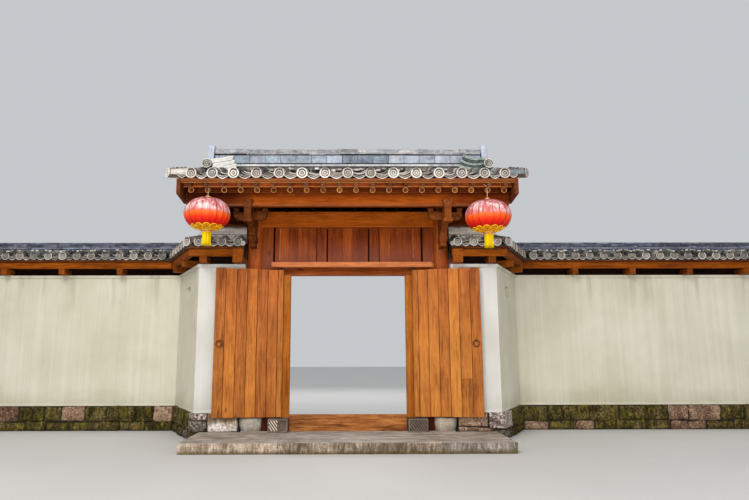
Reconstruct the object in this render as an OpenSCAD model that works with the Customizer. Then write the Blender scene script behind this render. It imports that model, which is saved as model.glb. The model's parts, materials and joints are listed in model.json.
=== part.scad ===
// Roofed timber garden gateway with two plank leaves, set between white
// plastered garden walls on rubble plinths. Millimetres, +Z up, +X along the
// wall, +Y through the gate. The origin is on the ground under the middle of
// the gate, in the plane of the column axes.

/* [Stone floor] */
// Height of the stone floor above the ground
floor_h = 155; // [120:5:170]
// Half the width of the front step slab
step_x = 2410; // [2200:10:2500]
// Distance of the front step slab's edge from the column axes
step_y = 1470; // [1300:10:1600]
// Distance of the rear floor's edge from the column axes
rear_y = 900; // [600:10:1000]

/* [Columns] */
// Half the distance between the column axes
col_x = 1600; // [1590:1:1610]
// Column diameter
col_d = 274; // [266:1:274]
// Top of the columns
col_top = 3840; // [3836:1:3850]
// Top of the round stone column bases
base_top = 372; // [365:1:374]

/* [Door frame] */
// Half the clear width between the jambs
open_x = 972; // [960:1:980]
// Outer edge of the jambs
jamb_x = 1090; // [1085:1:1092]
// Front face of jambs, head and threshold, before the column axes
frame_y = 118; // [110:1:119]
// Top of the threshold board
sill_top = 419; // [400:1:440]
// Underside of the door head
head_z = 2716; // [2650:1:2740]
// Underside of the rail that holds the top pivots
rail_z = 2845; // [2835:1:2850]
// Top of that rail
rail_top = 2930; // [2925:1:2945]
// Underside of the tie beam over the transom
tie_z = 3585; // [3560:1:3600]

/* [Door leaves] */
// Distance of the pivots from the middle of the gate
pivot_x = 1110; // [1108:1:1112]
// Distance of the pivots before the column axes
pivot_y = 150; // [149:1:152]
// Leaf reach from pivot to meeting edge
leaf_w = 1100; // [1080:1:1102]
// Leaf thickness
leaf_t = 50; // [44:1:52]
// Underside of the leaves
leaf_z0 = 385; // [382:1:395]
// Top of the leaves
leaf_z1 = 2822; // [2800:1:2825]
// Angle between the open leaf and the wall, as built at rest
leaf_ajar = 7; // [7:0.5:12]

/* [Roof] */
// Rise of the roof for each millimetre towards the ridge
slope = 0.33; // [0.30:0.01:0.34]
// Height of the round rafters' axes at their tips
raf_tip_z = 3952; // [3950:1:3956]
// Distance of the round rafters' tips from the ridge line
raf_tip_y = 1070; // [1060:1:1080]
// Spacing of the rafters
raf_pitch = 260.5; // [258:0.5:262]
// Round rafter diameter
raf_d = 90; // [80:1:92]
// Square flying rafter width
fly_w = 55; // [45:1:60]
// Inner face of the bargeboards
gable_x = 2600; // [2590:1:2620]

/* [Garden walls] */
// Front face of the piers beside the columns, before the column axes
pier_y = 160; // [158:1:160]
// Outer front corner of the piers
pier_x = 2520; // [2480:5:2560]
// Inner corner where the splay meets the side wall
splay_x = 3240; // [3100:5:3400]
// Front face of the side walls, behind the column axes
side_y = 1350; // [1250:5:1450]
// Where the side walls are cut off
wall_end = 8000; // [6000:50:8000]
// Wall thickness
wall_t = 360; // [340:5:380]
// Top of the rubble plinth
plinth_h = 450; // [430:5:470]
// Top of the plastered walls
wall_top = 2900; // [2895:5:2910]

/* [Lanterns] */
// Lantern radius
lan_r = 358; // [300:1:360]
// Lantern height
lan_h = 528; // [500:1:530]
// Middle of the right lantern above the ground
lan_z_r = 3518; // [3500:1:3530]
// Middle of the left lantern above the ground
lan_z_l = 3553; // [3535:1:3560]
// Distance of both lanterns before the ridge line
lan_y = 1120; // [1110:1:1130]

/* [Hidden] */
$fn = 64;

wood = [0.62, 0.33, 0.17];
wood_light = [0.76, 0.43, 0.20];
wood_dark = [0.42, 0.22, 0.13];
tile = [0.55, 0.58, 0.60];
plaster = [0.90, 0.88, 0.82];
stone = [0.55, 0.51, 0.46];
granite = [0.72, 0.71, 0.68];
iron = [0.16, 0.13, 0.11];
red = [0.80, 0.13, 0.08];
gold = [0.92, 0.66, 0.12];

col_r = col_d / 2;
cosr = 1 / sqrt(1 + slope * slope);
// Height of the rafter axes at a distance y from the ridge line.
function zr(y) = raf_tip_z + (raf_tip_y - y) * slope;
// Vertical offsets above the rafter axes of the layers on them.
o_raf = raf_d / 2 / cosr;
o_board = o_raf + 21;
o_fly = o_board + fly_w / cosr;
o_deck = o_fly + 21;
o_tile = 345;
board_y = 1062;     // lower edge of the boards on the round rafters
fly_y0 = 480;       // inner ends of the flying rafters
fly_y = 1214;       // tips of the flying rafters
fasc_y0 = 1214;
fasc_y1 = 1246;
fasc_z0 = 4027;
fasc_z1 = 4094;
tile_y = 1250;
seat_z = 4560;      // level seat of the main ridge in the tile bed
n_raf = 10;         // rafters each side of the middle

// A polygon in the plane across the roof, (distance along Y, height),
// drawn from x0 to x1.
module across(x0, x1, pts) {
  translate([x0, 0, 0]) rotate([90, 0, 90])
    linear_extrude(height = x1 - x0) polygon(pts);
}
// A box from one corner to the other.
module block(a, b) {
  translate(a) cube([b[0] - a[0], b[1] - a[1], b[2] - a[2]]);
}
module both_sides() { children(); mirror([1, 0, 0]) children(); }
module both_slopes() { children(); mirror([0, 1, 0]) children(); }

// ---- stone floor -------------------------------------------------------

module front_step_slab() { color(stone)
  difference() {
    block([-step_x, -step_y, 0], [step_x, -190, floor_h]);
  }
}
module gate_floor_slab() { color(stone)
  block([-1720, -190, 0], [1720, rear_y, floor_h]);
}
module threshold() { color(wood)
  block([-open_x + 2, -frame_y + 3, floor_h], [open_x - 2, -35, sill_top]);
}
// Square stones under the jambs, with the sockets of the lower pivots.
pin_r = 22;
bore_r = 22.05;
module pivot_stones() { color(granite) both_sides()
  difference() {
    block([975, -262, floor_h], [1295, 70, 370]);
    translate([pivot_x, -pivot_y, 338]) cylinder(r = bore_r, h = 60);
  }
}
// Bowl-shaped stone bases: wide rim, rounding in to a narrower foot.
module column_base_shape() {
  rotate_extrude() polygon(concat(
    [[0, floor_h], [152, floor_h]],
    [for (i = [0 : 10]) let (t = i / 10)
      [155 + 42 * sin(90 * t), floor_h + 6 + (base_top - floor_h - 28) * t]],
    [[196, base_top - 12], [190, base_top - 4], [178, base_top],
     [0, base_top]]));
}
module column_bases() { color(granite) both_sides()
  translate([col_x, 0, 0]) column_base_shape();
}

// ---- timber frame ------------------------------------------------------

module columns() { color(wood) both_sides()
  translate([col_x, 0, base_top]) cylinder(d = col_d, h = col_top - base_top);
}
module column_cut() {
  translate([col_x, 0, 100]) cylinder(r = col_r + 0.4, h = 4200);
}
module door_jambs() { color(wood) both_sides()
  block([open_x, -frame_y, 370], [jamb_x, 12, head_z]);
}
module door_head() { color(wood)
  block([-jamb_x, -frame_y, head_z], [jamb_x, 12, rail_z]);
}
// The lighter rail over the head, whose ends hold the top pivots.
module pivot_rail() { color(wood_light)
  difference() {
    union() {
      block([-1289.5, -222, rail_z], [1415, 12, rail_top]);
      block([1400, -100, rail_z + 6], [1462, 12, rail_top - 6]);
    }
    both_sides() translate([pivot_x, -pivot_y, rail_z - 10])
      cylinder(r = bore_r, h = 76);
  }
}
// Framed panels between jamb and column, with a rail down on the floor.
module side_panels() { color(wood) both_sides()
  difference() {
    union() {
      block([1296, -95, floor_h], [1500, -35, 400]);
      block([jamb_x + 1, -77, 372], [1500, -53, rail_z]);
      block([jamb_x + 1, -95, 372], [jamb_x + 61, -35, rail_z]);
      block([jamb_x + 61, -95, 372], [1500, -35, 470]);
      block([jamb_x + 61, -95, 2780], [1500, -35, rail_z]);
    }
    column_cut();
    translate([col_x, 0, 100]) cylinder(r = 197, h = base_top - 99);
  }
}
// Panel over the door: stiles, rails and recessed boards between them.
module transom_panel() { color(wood)
  difference() {
    union() {
      block([-1500, -20, rail_top], [1500, 10, tie_z - 21]);
      for (s = [-1, 1]) {
        block([s > 0 ? 1290 : -1500, -46, s > 0 ? rail_top : rail_z],
              [s > 0 ? 1500 : -1290, 26, tie_z - 21]);
        block([s > 0 ? 360 : -537, -34, rail_top],
              [s > 0 ? 537 : -360, 20, tie_z - 21]);
      }
      block([-1290, -34, tie_z - 41], [1290, 20, tie_z - 21]);
      block([-1290, -34, rail_top], [1290, 20, rail_top + 20]);
    }
    both_sides() column_cut();
  }
}
module tie_beam() { color(wood_light)
  difference() {
    union() {
      block([-1600, -65, tie_z], [1600, 65, col_top - 6]);
      block([-1600, -76, tie_z - 21], [1600, 76, tie_z]);
    }
    both_sides() column_cut();
  }
}
// Bracket sets: an arm through the column top that carries the purlin behind
// its raised nose, a curved cross arm with cupped end blocks behind the
// purlin, and a carved corbel below the arm.
purl_y0 = 730;
purl_y1 = 870;
purl_z = 3770;
lip_z = 3749;
arm_w = 110;
module cross_arm_side() {
  // half of the cross arm's outline: x from the middle, z
  polygon(concat(
    [[0, 3566], [178, 3566]],
    [for (i = [1 : 8]) let (a = 90 * i / 8)
      [178 + 96 * sin(a), 3566 + 96 * (1 - cos(a))]],
    [[274, 3712], [284, 3736], [285, 3757], [186, 3757], [188, 3736],
     [198, 3712], [192, 3690], [0, 3690]]));
}
module front_bracket() {
  difference() {
    union() {
      // arm, dipping under its nose
      across(col_x - arm_w / 2, col_x + arm_w / 2,
        [[0, 3540], [-700, 3540], [-760, 3507], [-905, 3507], [-932, 3530],
         [-932, 3770], [-880, 3770], [-880, lip_z], [0, lip_z]]);
      // cupped nose in front of the purlin
      translate([col_x, -875, 0]) rotate([90, 0, 0]) linear_extrude(70)
        polygon([[-54, 3700], [54, 3700], [62, 3724], [60, 3770], [66, 3792],
          [84, 3822], [82, 3845], [60, 3836], [-60, 3836], [-82, 3845],
          [-84, 3822], [-66, 3792], [-60, 3770], [-62, 3724]]);
      // flared foot of the nose
      translate([col_x, -770, 0]) rotate([90, 0, 0]) linear_extrude(155)
        polygon([[-54, 3560], [-60, 3535], [-80, 3512], [-76, 3490],
          [-44, 3484], [44, 3484], [76, 3490], [80, 3512], [60, 3535],
          [54, 3560]]);
      // cross arm along the wall
      translate([col_x, -560, 0]) rotate([90, 0, 0]) linear_extrude(90) {
        cross_arm_side();
        mirror([1, 0]) cross_arm_side();
      }
      // carved corbel, wider over its foot
      across(col_x - 48, col_x + 48, [[0, 3541], [0, 3165], [-350, 3165],
        [-368, 3180], [-368, 3222], [-350, 3240], [-396, 3296],
        [-404, 3334], [-388, 3364], [-425, 3408], [-490, 3448],
        [-570, 3480], [-640, 3508], [-680, 3541]]);
      across(col_x - 62, col_x + 62, [[0, 3345], [0, 3262], [-368, 3262],
        [-392, 3290], [-400, 3330], [-392, 3345]]);
    }
    column_cut();
  }
}
module brackets() { color(wood) both_slopes() both_sides() front_bracket(); }

// Purlins: squared timbers on a thin lip under the eaves, one at the ridge.
module purlins() { color(wood) {
  both_slopes() across(-gable_x, gable_x,
    [[-purl_y1, purl_z], [-855, purl_z], [-855, lip_z], [-745, lip_z],
     [-745, purl_z], [-purl_y0, purl_z], [-purl_y0, zr(purl_y0) - o_raf],
     [-purl_y1, zr(purl_y1) - o_raf]]);
  across(-gable_x, gable_x,
    [[-70, 4080], [70, 4080], [70, zr(70) - o_raf], [0, zr(0) - o_raf],
     [-70, zr(70) - o_raf]]);
} }
// Short posts on the column heads under the ridge purlin.
module king_posts() { color(wood) both_sides()
  block([col_x - 60, -60, col_top], [col_x + 60, 60, 4080]);
}
module round_rafters() { color(wood_light) both_slopes()
  for (i = [-n_raf : n_raf - 1])
    translate([(i + 0.5) * raf_pitch, -raf_tip_y, raf_tip_z])
      rotate([atan(slope) - 90, 0, 0]) cylinder(d = raf_d,
        h = (raf_tip_y - 20) / cosr, $fn = 32);
}
module flying_rafters() { color(wood_light) both_slopes()
  for (i = [-n_raf : n_raf - 1]) let (x = (i + 0.5) * raf_pitch)
    across(x - fly_w / 2, x + fly_w / 2,
      [[-fly_y0, zr(fly_y0) + o_board], [-fly_y0, zr(fly_y0) + o_fly],
       [-fly_y, zr(fly_y) + o_fly], [-fly_y, zr(fly_y) + o_board]]);
}
// Boards over the round rafters, and over the flying rafters of each eave.
module roof_boards() { color(wood_dark) {
  across(-gable_x, gable_x, [
    [-board_y, zr(board_y) + o_raf], [0, zr(0) + o_raf],
    [board_y, zr(board_y) + o_raf], [board_y, zr(board_y) + o_board],
    [0, zr(0) + o_board], [-board_y, zr(board_y) + o_board]]);
  both_slopes() across(-gable_x, gable_x, [
    [-fly_y, zr(fly_y) + o_fly], [-470, zr(470) + o_fly],
    [-470, zr(470) + o_deck], [-fly_y, zr(fly_y) + o_deck]]);
} }
module eave_fascias() { color(wood_light) both_slopes()
  block([1 - gable_x, -fasc_y1, fasc_z0], [gable_x - 1, -fasc_y0, fasc_z1]);
}
// Bargeboards: one deep board down each slope over the purlin ends, mitred
// at the ridge and cut back below the eave.
barge_y = 780;
module bargeboards() { color(wood_light) both_sides()
  across(gable_x, gable_x + 60, [
    [-fasc_y1, 3852], [-barge_y, zr(barge_y) - 248], [0, zr(0) - 248],
    [barge_y, zr(barge_y) - 248], [fasc_y1, 3852],
    [fasc_y1, zr(fasc_y1) + 200], [0, zr(0) + 200],
    [-fasc_y1, zr(fasc_y1) + 200]]);
}

// ---- roof tiling and ridges --------------------------------------------

// Tile bed and tiles of both slopes in one, with a level seat for the ridge.
function slope_side(s) = [
  [s * 470, zr(470) + o_board], [s * 470, zr(470) + o_deck],
  [s * fasc_y0, zr(fasc_y0) + o_deck], [s * fasc_y0, fasc_z1 + 2],
  [s * tile_y, fasc_z1 + 12], [s * tile_y, zr(tile_y) + o_tile]];
module roof_tiles() { color(tile)
  difference() {
    across(-gable_x, gable_x, concat([[0, zr(0) + o_board]], slope_side(-1),
      [[0, zr(0) + o_tile]], [for (i = [5 : -1 : 0]) slope_side(1)[i]]));
    block([-ridge_x - 103, -150, seat_z], [ridge_x + 103, 150, 5200]);
  }
}
// Row of sideways tiles along each gable edge, over the bargeboards.
module verge_tiles() { color(tile) both_sides()
  across(gable_x, gable_x + 245, [
    [-tile_y, zr(tile_y) + 204], [0, zr(0) + 204], [tile_y, zr(tile_y) + 204],
    [tile_y, zr(tile_y) + 330], [0, zr(0) + 330],
    [-tile_y, zr(tile_y) + 330]]);
}
ridge_x = 2352;
module main_ridge() { color(tile)
  across(-ridge_x, ridge_x, concat(
    [[-150, seat_z], [150, seat_z], [150, 4706], [144, 4712], [112, 4712],
     [112, 4726], [100, 4726], [100, 4876], [84, 4880], [84, 4898]],
    [for (i = [0 : 12]) [98 * cos(15 * i), 4898 + 98 * sin(15 * i)]],
    [[-84, 4898], [-84, 4880], [-100, 4876], [-100, 4726], [-112, 4726],
     [-112, 4712], [-144, 4712], [-150, 4706]]));
}
// Upright end tiles that close the ridge and stand above it.
module ridge_end_tiles() { color(tile) both_sides()
  across(ridge_x, ridge_x + 103, [
    [-150, seat_z], [150, seat_z], [150, 4712], [130, 4730], [130, 4900],
    [112, 4990], [60, 5050], [0, 5060], [-60, 5050], [-112, 4990],
    [-130, 4900], [-130, 4730], [-150, 4712]]);
}
// Short stacked ridges that run out at an angle from the main ridge near its
// ends, each closed by a round tile.
module corner_ridge() {
  difference() {
    union() {
      translate([2030, -120, 0]) rotate([90, 0, -50]) translate([0, 0, -70])
        linear_extrude(140) polygon([[0, 4480], [560, 4330], [560, 4618],
          [500, 4616], [400, 4636], [280, 4676], [140, 4745], [0, 4835]]);
      translate([2360, -566, 4538]) rotate([90, 0, 0]) cylinder(r = 72, h = 34);
    }
    across(1500, 3000, [[150, 4000], [150, zr(-150) + o_tile],
      [0, zr(0) + o_tile], [-tile_y, zr(tile_y) + o_tile], [-tile_y, 4000]]);
    block([1500, -150, 4000], [3000, 300, 5200]);
  }
}
module corner_ridges() { color(tile) both_slopes() both_sides() corner_ridge(); }

// ---- garden walls ------------------------------------------------------

// Plan of the front face on the right: pier, splay, side wall.
path = [[1742, -pier_y], [pier_x, -pier_y], [splay_x, side_y],
        [wall_end, side_y]];
sp_l = norm([splay_x - pier_x, side_y + pier_y]);
sp_n = [-(side_y + pier_y) / sp_l, (splay_x - pier_x) / sp_l];
// Mitre directions at the four points, for offsets behind the front face.
mit = [[0, 1], ([0, 1] + sp_n) / (1 + sp_n[1]),
       ([0, 1] + sp_n) / (1 + sp_n[1]), [0, 1]];
function at(i, u) = path[i] + u * mit[i];
dirs = [[1, 0], [sp_n[1], -sp_n[0]], [1, 0]];
// The same at the ends of bay i, with a hairline joint left at each mitre.
joint = 0.5;
function from(i, u) = at(i, u) + (i > 0 ? joint : 0) * dirs[i];
function upto(i, u) = at(i + 1, u) - (i < 2 ? joint : 0) * dirs[i];
// One bay of wall from path point i to the next, u0 to u1 behind the face.
module bay(i, u0, u1, z0, z1) {
  translate([0, 0, z0]) linear_extrude(height = z1 - z0)
    polygon([at(i, u0), at(i + 1, u0), at(i + 1, u1), at(i, u1)]);
}
module run(u0, u1, z0, z1) {
  for (i = [0 : 2]) translate([0, 0, z0]) linear_extrude(height = z1 - z0)
    polygon([from(i, u0), upto(i, u0), upto(i, u1), from(i, u1)]);
}
module plaster_bay(i) {
  bay(i, 0, wall_t, plinth_h, wall_top - 50);
  bay(i, -25, wall_t + 25, wall_top - 50, wall_top);
}
module wing_piers() { color(plaster) both_sides() plaster_bay(0); }
module splay_walls() { color(plaster) both_sides()
  difference() {
    plaster_bay(1);
    // shallow niche high in the splay
    translate([path[1][0], path[1][1], 2400])
      rotate([0, 0, atan2(side_y + pier_y, splay_x - pier_x)])
        translate([670, -10, 0]) cube([350, 100, 190]);
  }
}
module side_walls() { color(plaster) both_sides() plaster_bay(2); }
// Rubble plinth, proud of the plaster and starting clear of the column base.
module stone_plinths() { color(stone) both_sides()
  intersection() {
    run(-28, wall_t + 28, 0, plinth_h);
    block([1805, -1000, -10], [wall_end, 4000, plinth_h + 10]);
  }
}
// A closed profile of [offset behind the face, height] points along bay i.
module swept_bay(i, prof) {
  n = len(prof);
  polyhedron(points = concat(
      [for (p = prof) [from(i, p[0])[0], from(i, p[0])[1], p[1]]],
      [for (p = prof) [upto(i, p[0])[0], upto(i, p[0])[1], p[1]]]),
    faces = concat([[for (k = [0 : n - 1]) k]],
      [for (k = [0 : n - 1]) let (j = (k + 1) % n) [j, k, n + k, n + j]],
      [[for (k = [n - 1 : -1 : 0]) n + k]]));
}
module swept(prof) { for (i = [0 : 2]) swept_bay(i, prof); }
// Timber on the wall head: cross bearers and a long beam under each eave,
// all drawn as distances behind the wall's front face.
bear_x = [4350, 5450, 6550, 7650];
bear_z = 3010 - joint;
bed_z = wall_top + joint;
module bearer(w) { block([-w / 2, -215, bed_z], [w / 2, wall_t + 215, bear_z]); }
module coping_timbers() { color(wood_light) both_sides() {
    run(-215, -135, 3010, 3130);
    run(wall_t + 135, wall_t + 215, 3010, 3130);
    // bearers on the pier
    translate([1835, -pier_y, 0]) {
      bearer(164);
      block([-82, -239, bed_z], [82, -215 - joint, 3129.5]);
    }
    translate([2410, -pier_y, 0]) block([-62, -215, bed_z], [62, 150, bear_z]);
    // bearers on the splay
    translate([path[1][0], path[1][1], 0])
      rotate([0, 0, atan2(side_y + pier_y, splay_x - pier_x)])
        for (s = [420, 1250]) translate([s, 0, 0]) bearer(110);
    // bearers on the side wall
    for (x = bear_x) if (x < wall_end - 200)
      translate([x, side_y, 0]) bearer(110);
} }
module coping_tiles() { color(tile) both_sides()
  swept([[-262, 3150], [-262, 3322], [80, 3435], [wall_t - 80, 3435],
         [wall_t + 262, 3322], [wall_t + 262, 3150], [wall_t + 215, 3130],
         [wall_t + 135, 3130], [wall_t + 135, 3174], [wall_t / 2, 3275],
         [-135, 3174], [-135, 3130], [-215, 3130]]);
}
module coping_ridges() { color(tile) both_sides()
  swept([[80, 3435], [80, 3490], [95, 3496], [95, 3540], [115, 3546],
         [130, 3568], [160, 3580], [200, 3580], [230, 3568], [245, 3546],
         [265, 3540], [265, 3496], [280, 3490], [280, 3435]]);
}

// ---- door leaves -------------------------------------------------------

// A leaf in its own place: pivot axis at the origin, reaching along +X. The
// face towards -Y is the one that shows when the gate stands open.
ring_x = leaf_w - 90;
eye_z = 1615;
eye_y = -leaf_t / 2 - 18;
module leaf() {
  difference() {
    translate([0, -leaf_t / 2, leaf_z0])
      cube([leaf_w, leaf_t, leaf_z1 - leaf_z0]);
    translate([ring_x, -leaf_t / 2 - 5, eye_z]) rotate([-90, 0, 0])
      cylinder(r = 4.02, h = 30);
  }
  translate([0, 0, leaf_z0]) cylinder(d = leaf_t, h = leaf_z1 - leaf_z0);
  translate([0, 0, 345]) cylinder(r = pin_r, h = leaf_z0 - 345 + 1);
  translate([0, 0, leaf_z1 - 1]) cylinder(r = pin_r, h = 2897 - leaf_z1 + 1);
  // ledges across the back
  for (z = [620, 1240, 1860, 2480])
    translate([60, leaf_t / 2 - 1, z]) cube([leaf_w - 120, 28, 90]);
}
module ring_staple() {
  translate([ring_x, eye_y, eye_z]) rotate([0, 90, 0])
    rotate_extrude($fn = 48) translate([12, 0]) circle(r = 4, $fn = 24);
  translate([ring_x, eye_y + 12, eye_z]) rotate([-90, 0, 0])
    cylinder(r = 4, h = 25);
}
// The pull hangs in the eye; its middle is below the eye's.
pull_r = 50;
module ring_pull() {
  translate([ring_x, eye_y, eye_z - pull_r]) rotate([90, 0, 0])
    rotate_extrude($fn = 64) translate([pull_r, 0]) circle(r = 7, $fn = 24);
  // straight stretch that turns in the eye
  translate([ring_x - 7, eye_y, eye_z]) rotate([0, 90, 0])
    cylinder(r = 7.4, h = 14);
}
module right_place() {
  translate([pivot_x, -pivot_y, 0]) rotate([0, 0, -leaf_ajar]) children();
}
module left_place() { mirror([1, 0, 0]) right_place() children(); }
module right_door_leaf() { color(wood) right_place() leaf(); }
module left_door_leaf() { color(wood) left_place() leaf(); }
module right_ring_staple() { color(iron) right_place() ring_staple(); }
module left_ring_staple() { color(iron) left_place() ring_staple(); }
module right_ring_pull() { color(iron) right_place() ring_pull(); }
module left_ring_pull() { color(iron) left_place() ring_pull(); }

// ---- lanterns ----------------------------------------------------------

lan_x = 8.5 * raf_pitch - 22;        // on the inner side of a flying rafter
hook_z = zr(lan_y) + o_board - 32;   // axis of the pin they swing on
hook_r = 3;
module hook() {
  for (s = [-1, 1]) translate([lan_x, -lan_y + s * 14, hook_z])
    cylinder(r = hook_r, h = 60, $fn = 24);
  translate([lan_x, -lan_y + 17, hook_z]) rotate([90, 0, 0])
    cylinder(r = hook_r, h = 34, $fn = 24);
}
module lantern_hooks() { color(iron) both_sides()
  intersection() {
    hook();
    across(0, gable_x, [[-fly_y, 3000], [-fly_y, zr(fly_y) + o_board],
      [-fly_y0, zr(fly_y0) + o_board], [-fly_y0, 3000]]);
  }
}
// Oblate shell of cloth over ribs, with a collar above and below.
lan_t = 5;
function shell(r, h) = [for (i = [0 : 36]) let (a = -90 + 5 * i)
  [max(0.01, r * pow(max(0, cos(a)), 0.9)), h * sin(a)]];
module lantern(zc) {
  translate([0, 0, zc]) rotate_extrude($fn = 72) difference() {
    union() {
      polygon(concat([[0, -lan_h / 2]], shell(lan_r, lan_h / 2),
        [[0, lan_h / 2]]));
      translate([0, lan_h / 2 - 12]) square([45, 30]);
      translate([0, -lan_h / 2 - 6]) square([72, 20]);
    }
    polygon(concat([[0, -lan_h / 2 + lan_t + 9]],
      [for (p = shell(lan_r - lan_t, lan_h / 2 - lan_t)) if
        (abs(p[1]) < lan_h / 2 - 14) p], [[0, lan_h / 2 - lan_t - 9]]));
  }
}
module wire(zc) {
  difference() {
    union() {
      translate([0, 4, hook_z]) rotate([90, 0, 0])
        cylinder(r = 8, h = 8, $fn = 32);
      translate([0, 0, zc + lan_h / 2 + 18]) cylinder(r = 3,
        h = hook_z - 5 - zc - lan_h / 2 - 18, $fn = 24);
    }
    translate([0, 10, hook_z]) rotate([90, 0, 0])
      cylinder(r = hook_r + 0.05, h = 20, $fn = 32);
  }
}
module tassel(zc) {
  translate([0, 0, zc - lan_h / 2 - 6 - 235]) cylinder(r = 76, h = 235);
}
module right_lantern() { color(red) translate([lan_x, -lan_y, 0]) lantern(lan_z_r); }
module left_lantern() { color(red) translate([-lan_x, -lan_y, 0]) lantern(lan_z_l); }
module right_lantern_wire() { color(iron) translate([lan_x, -lan_y, 0]) wire(lan_z_r); }
module left_lantern_wire() { color(iron) translate([-lan_x, -lan_y, 0]) wire(lan_z_l); }
module right_lantern_tassel() { color(gold) translate([lan_x, -lan_y, 0]) tassel(lan_z_r); }
module left_lantern_tassel() { color(gold) translate([-lan_x, -lan_y, 0]) tassel(lan_z_l); }

front_step_slab();
gate_floor_slab();
threshold();
pivot_stones();
column_bases();
columns();
door_jambs();
door_head();
pivot_rail();
side_panels();
transom_panel();
tie_beam();
brackets();
purlins();
king_posts();
round_rafters();
flying_rafters();
roof_boards();
eave_fascias();
roof_tiles();
main_ridge();
ridge_end_tiles();
corner_ridges();
verge_tiles();
bargeboards();
wing_piers();
splay_walls();
side_walls();
stone_plinths();
coping_timbers();
coping_tiles();
coping_ridges();
lantern_hooks();
left_door_leaf();
right_door_leaf();
left_ring_staple();
right_ring_staple();
left_ring_pull();
right_ring_pull();
left_lantern();
right_lantern();
left_lantern_wire();
right_lantern_wire();
left_lantern_tassel();
right_lantern_tassel();
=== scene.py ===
import json
import math
import random

import bpy
import bmesh
from mathutils import Matrix, Vector, noise

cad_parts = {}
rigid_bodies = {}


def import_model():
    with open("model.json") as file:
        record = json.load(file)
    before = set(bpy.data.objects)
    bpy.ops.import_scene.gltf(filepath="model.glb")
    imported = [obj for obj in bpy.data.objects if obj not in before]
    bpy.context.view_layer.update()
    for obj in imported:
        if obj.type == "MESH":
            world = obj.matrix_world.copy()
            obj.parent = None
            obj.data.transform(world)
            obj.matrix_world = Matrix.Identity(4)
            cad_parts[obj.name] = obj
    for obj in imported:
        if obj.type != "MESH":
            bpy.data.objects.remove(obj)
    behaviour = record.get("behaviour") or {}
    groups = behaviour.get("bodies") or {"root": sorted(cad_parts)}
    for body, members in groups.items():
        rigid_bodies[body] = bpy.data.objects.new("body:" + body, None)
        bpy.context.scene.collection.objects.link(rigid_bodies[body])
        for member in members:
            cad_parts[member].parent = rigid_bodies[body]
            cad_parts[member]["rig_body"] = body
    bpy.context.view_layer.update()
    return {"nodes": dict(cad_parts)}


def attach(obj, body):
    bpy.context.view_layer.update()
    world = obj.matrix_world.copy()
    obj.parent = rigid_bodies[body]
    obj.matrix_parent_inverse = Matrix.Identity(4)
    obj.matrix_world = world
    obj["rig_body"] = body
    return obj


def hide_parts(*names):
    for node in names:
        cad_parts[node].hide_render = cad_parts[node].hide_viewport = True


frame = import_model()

NODES = frame["nodes"]
ROOT = "gateway"
Z = Vector((0, 0, 1))

# ------------------------------------------------------------------ camera

cam_data = bpy.data.cameras.new("photo_camera")
cam_data.sensor_width = 36.0
cam_data.lens = 29.566
cam_data.shift_x = 0.0277
cam_data.clip_end = 200
cam = bpy.data.objects.new("photo_camera", cam_data)
bpy.context.scene.collection.objects.link(cam)
yaw, pitch, roll = 0.00754, 0.16795, 0.00198
forward = Vector((math.sin(yaw) * math.cos(pitch), math.cos(yaw) * math.cos(pitch), math.sin(pitch)))
right0 = Vector((math.cos(yaw), -math.sin(yaw), 0))
down0 = forward.cross(right0)
right = right0 * math.cos(roll) + down0 * math.sin(roll)
down = down0 * math.cos(roll) - right0 * math.sin(roll)
m = Matrix.Identity(4)
for i in range(3):
    m[i][0], m[i][1], m[i][2] = right[i], -down[i], -forward[i]
m[0][3], m[1][3], m[2][3] = 0.020, -10.502, 1.391
cam.matrix_world = m
bpy.context.scene.camera = cam

# ------------------------------------------------------- dimensions, metres

SLOPE = 0.33
ALPHA = math.atan(SLOPE)


def zr(d):
    """Height of the round rafters' axes at a horizontal distance d from the ridge."""
    return 3.952 + (1.070 - abs(d)) * SLOPE


COL_X = 1.600
COL_R = 0.137
PITCH = 0.2605
O_RAF = 0.045 / math.cos(ALPHA)
O_BOARD = O_RAF + 0.021
O_FLY = O_BOARD + 0.055 / math.cos(ALPHA)
O_DECK = O_FLY + 0.021
PIVOT = (1.110, -0.150)
AJAR = math.radians(7)
LAN_X, LAN_Y = 2.19225, -1.120
LAN_R, LAN_H = 0.358, 0.528
LAN_Z = {"right": 3.518, "left": 3.553}
HOOK_Z = zr(1.120) + O_BOARD - 0.032

# garden wall path on the right: points, directions and normals (behind the face)
WP = [Vector((1.742, -0.160, 0)), Vector((2.520, -0.160, 0)), Vector((3.240, 1.350, 0)), Vector((8.0, 1.350, 0))]
WD = [(WP[i + 1] - WP[i]).normalized() for i in range(3)]
WN = [Vector((-d.y, d.x, 0)) for d in WD]
WALL_T = 0.360


def mitre(i):
    if i == 0 or i == 3:
        return Vector((0, 1, 0))
    a, b = WN[i - 1], WN[i]
    return (a + b) / (1 + a.dot(b))


def span(i, u):
    """Start and end of bay i along its own direction, at offset u behind the front face."""
    a = (mitre(i) * u).dot(WD[i])
    b = (WP[i + 1] - WP[i]).length + (mitre(i + 1) * u).dot(WD[i])
    return a, b


def wall_point(side, i, s, u, z):
    p = WP[i] + WD[i] * s + WN[i] * u
    return Vector((side * p.x, p.y, z))


# ---------------------------------------------------------------- mesh code


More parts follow.
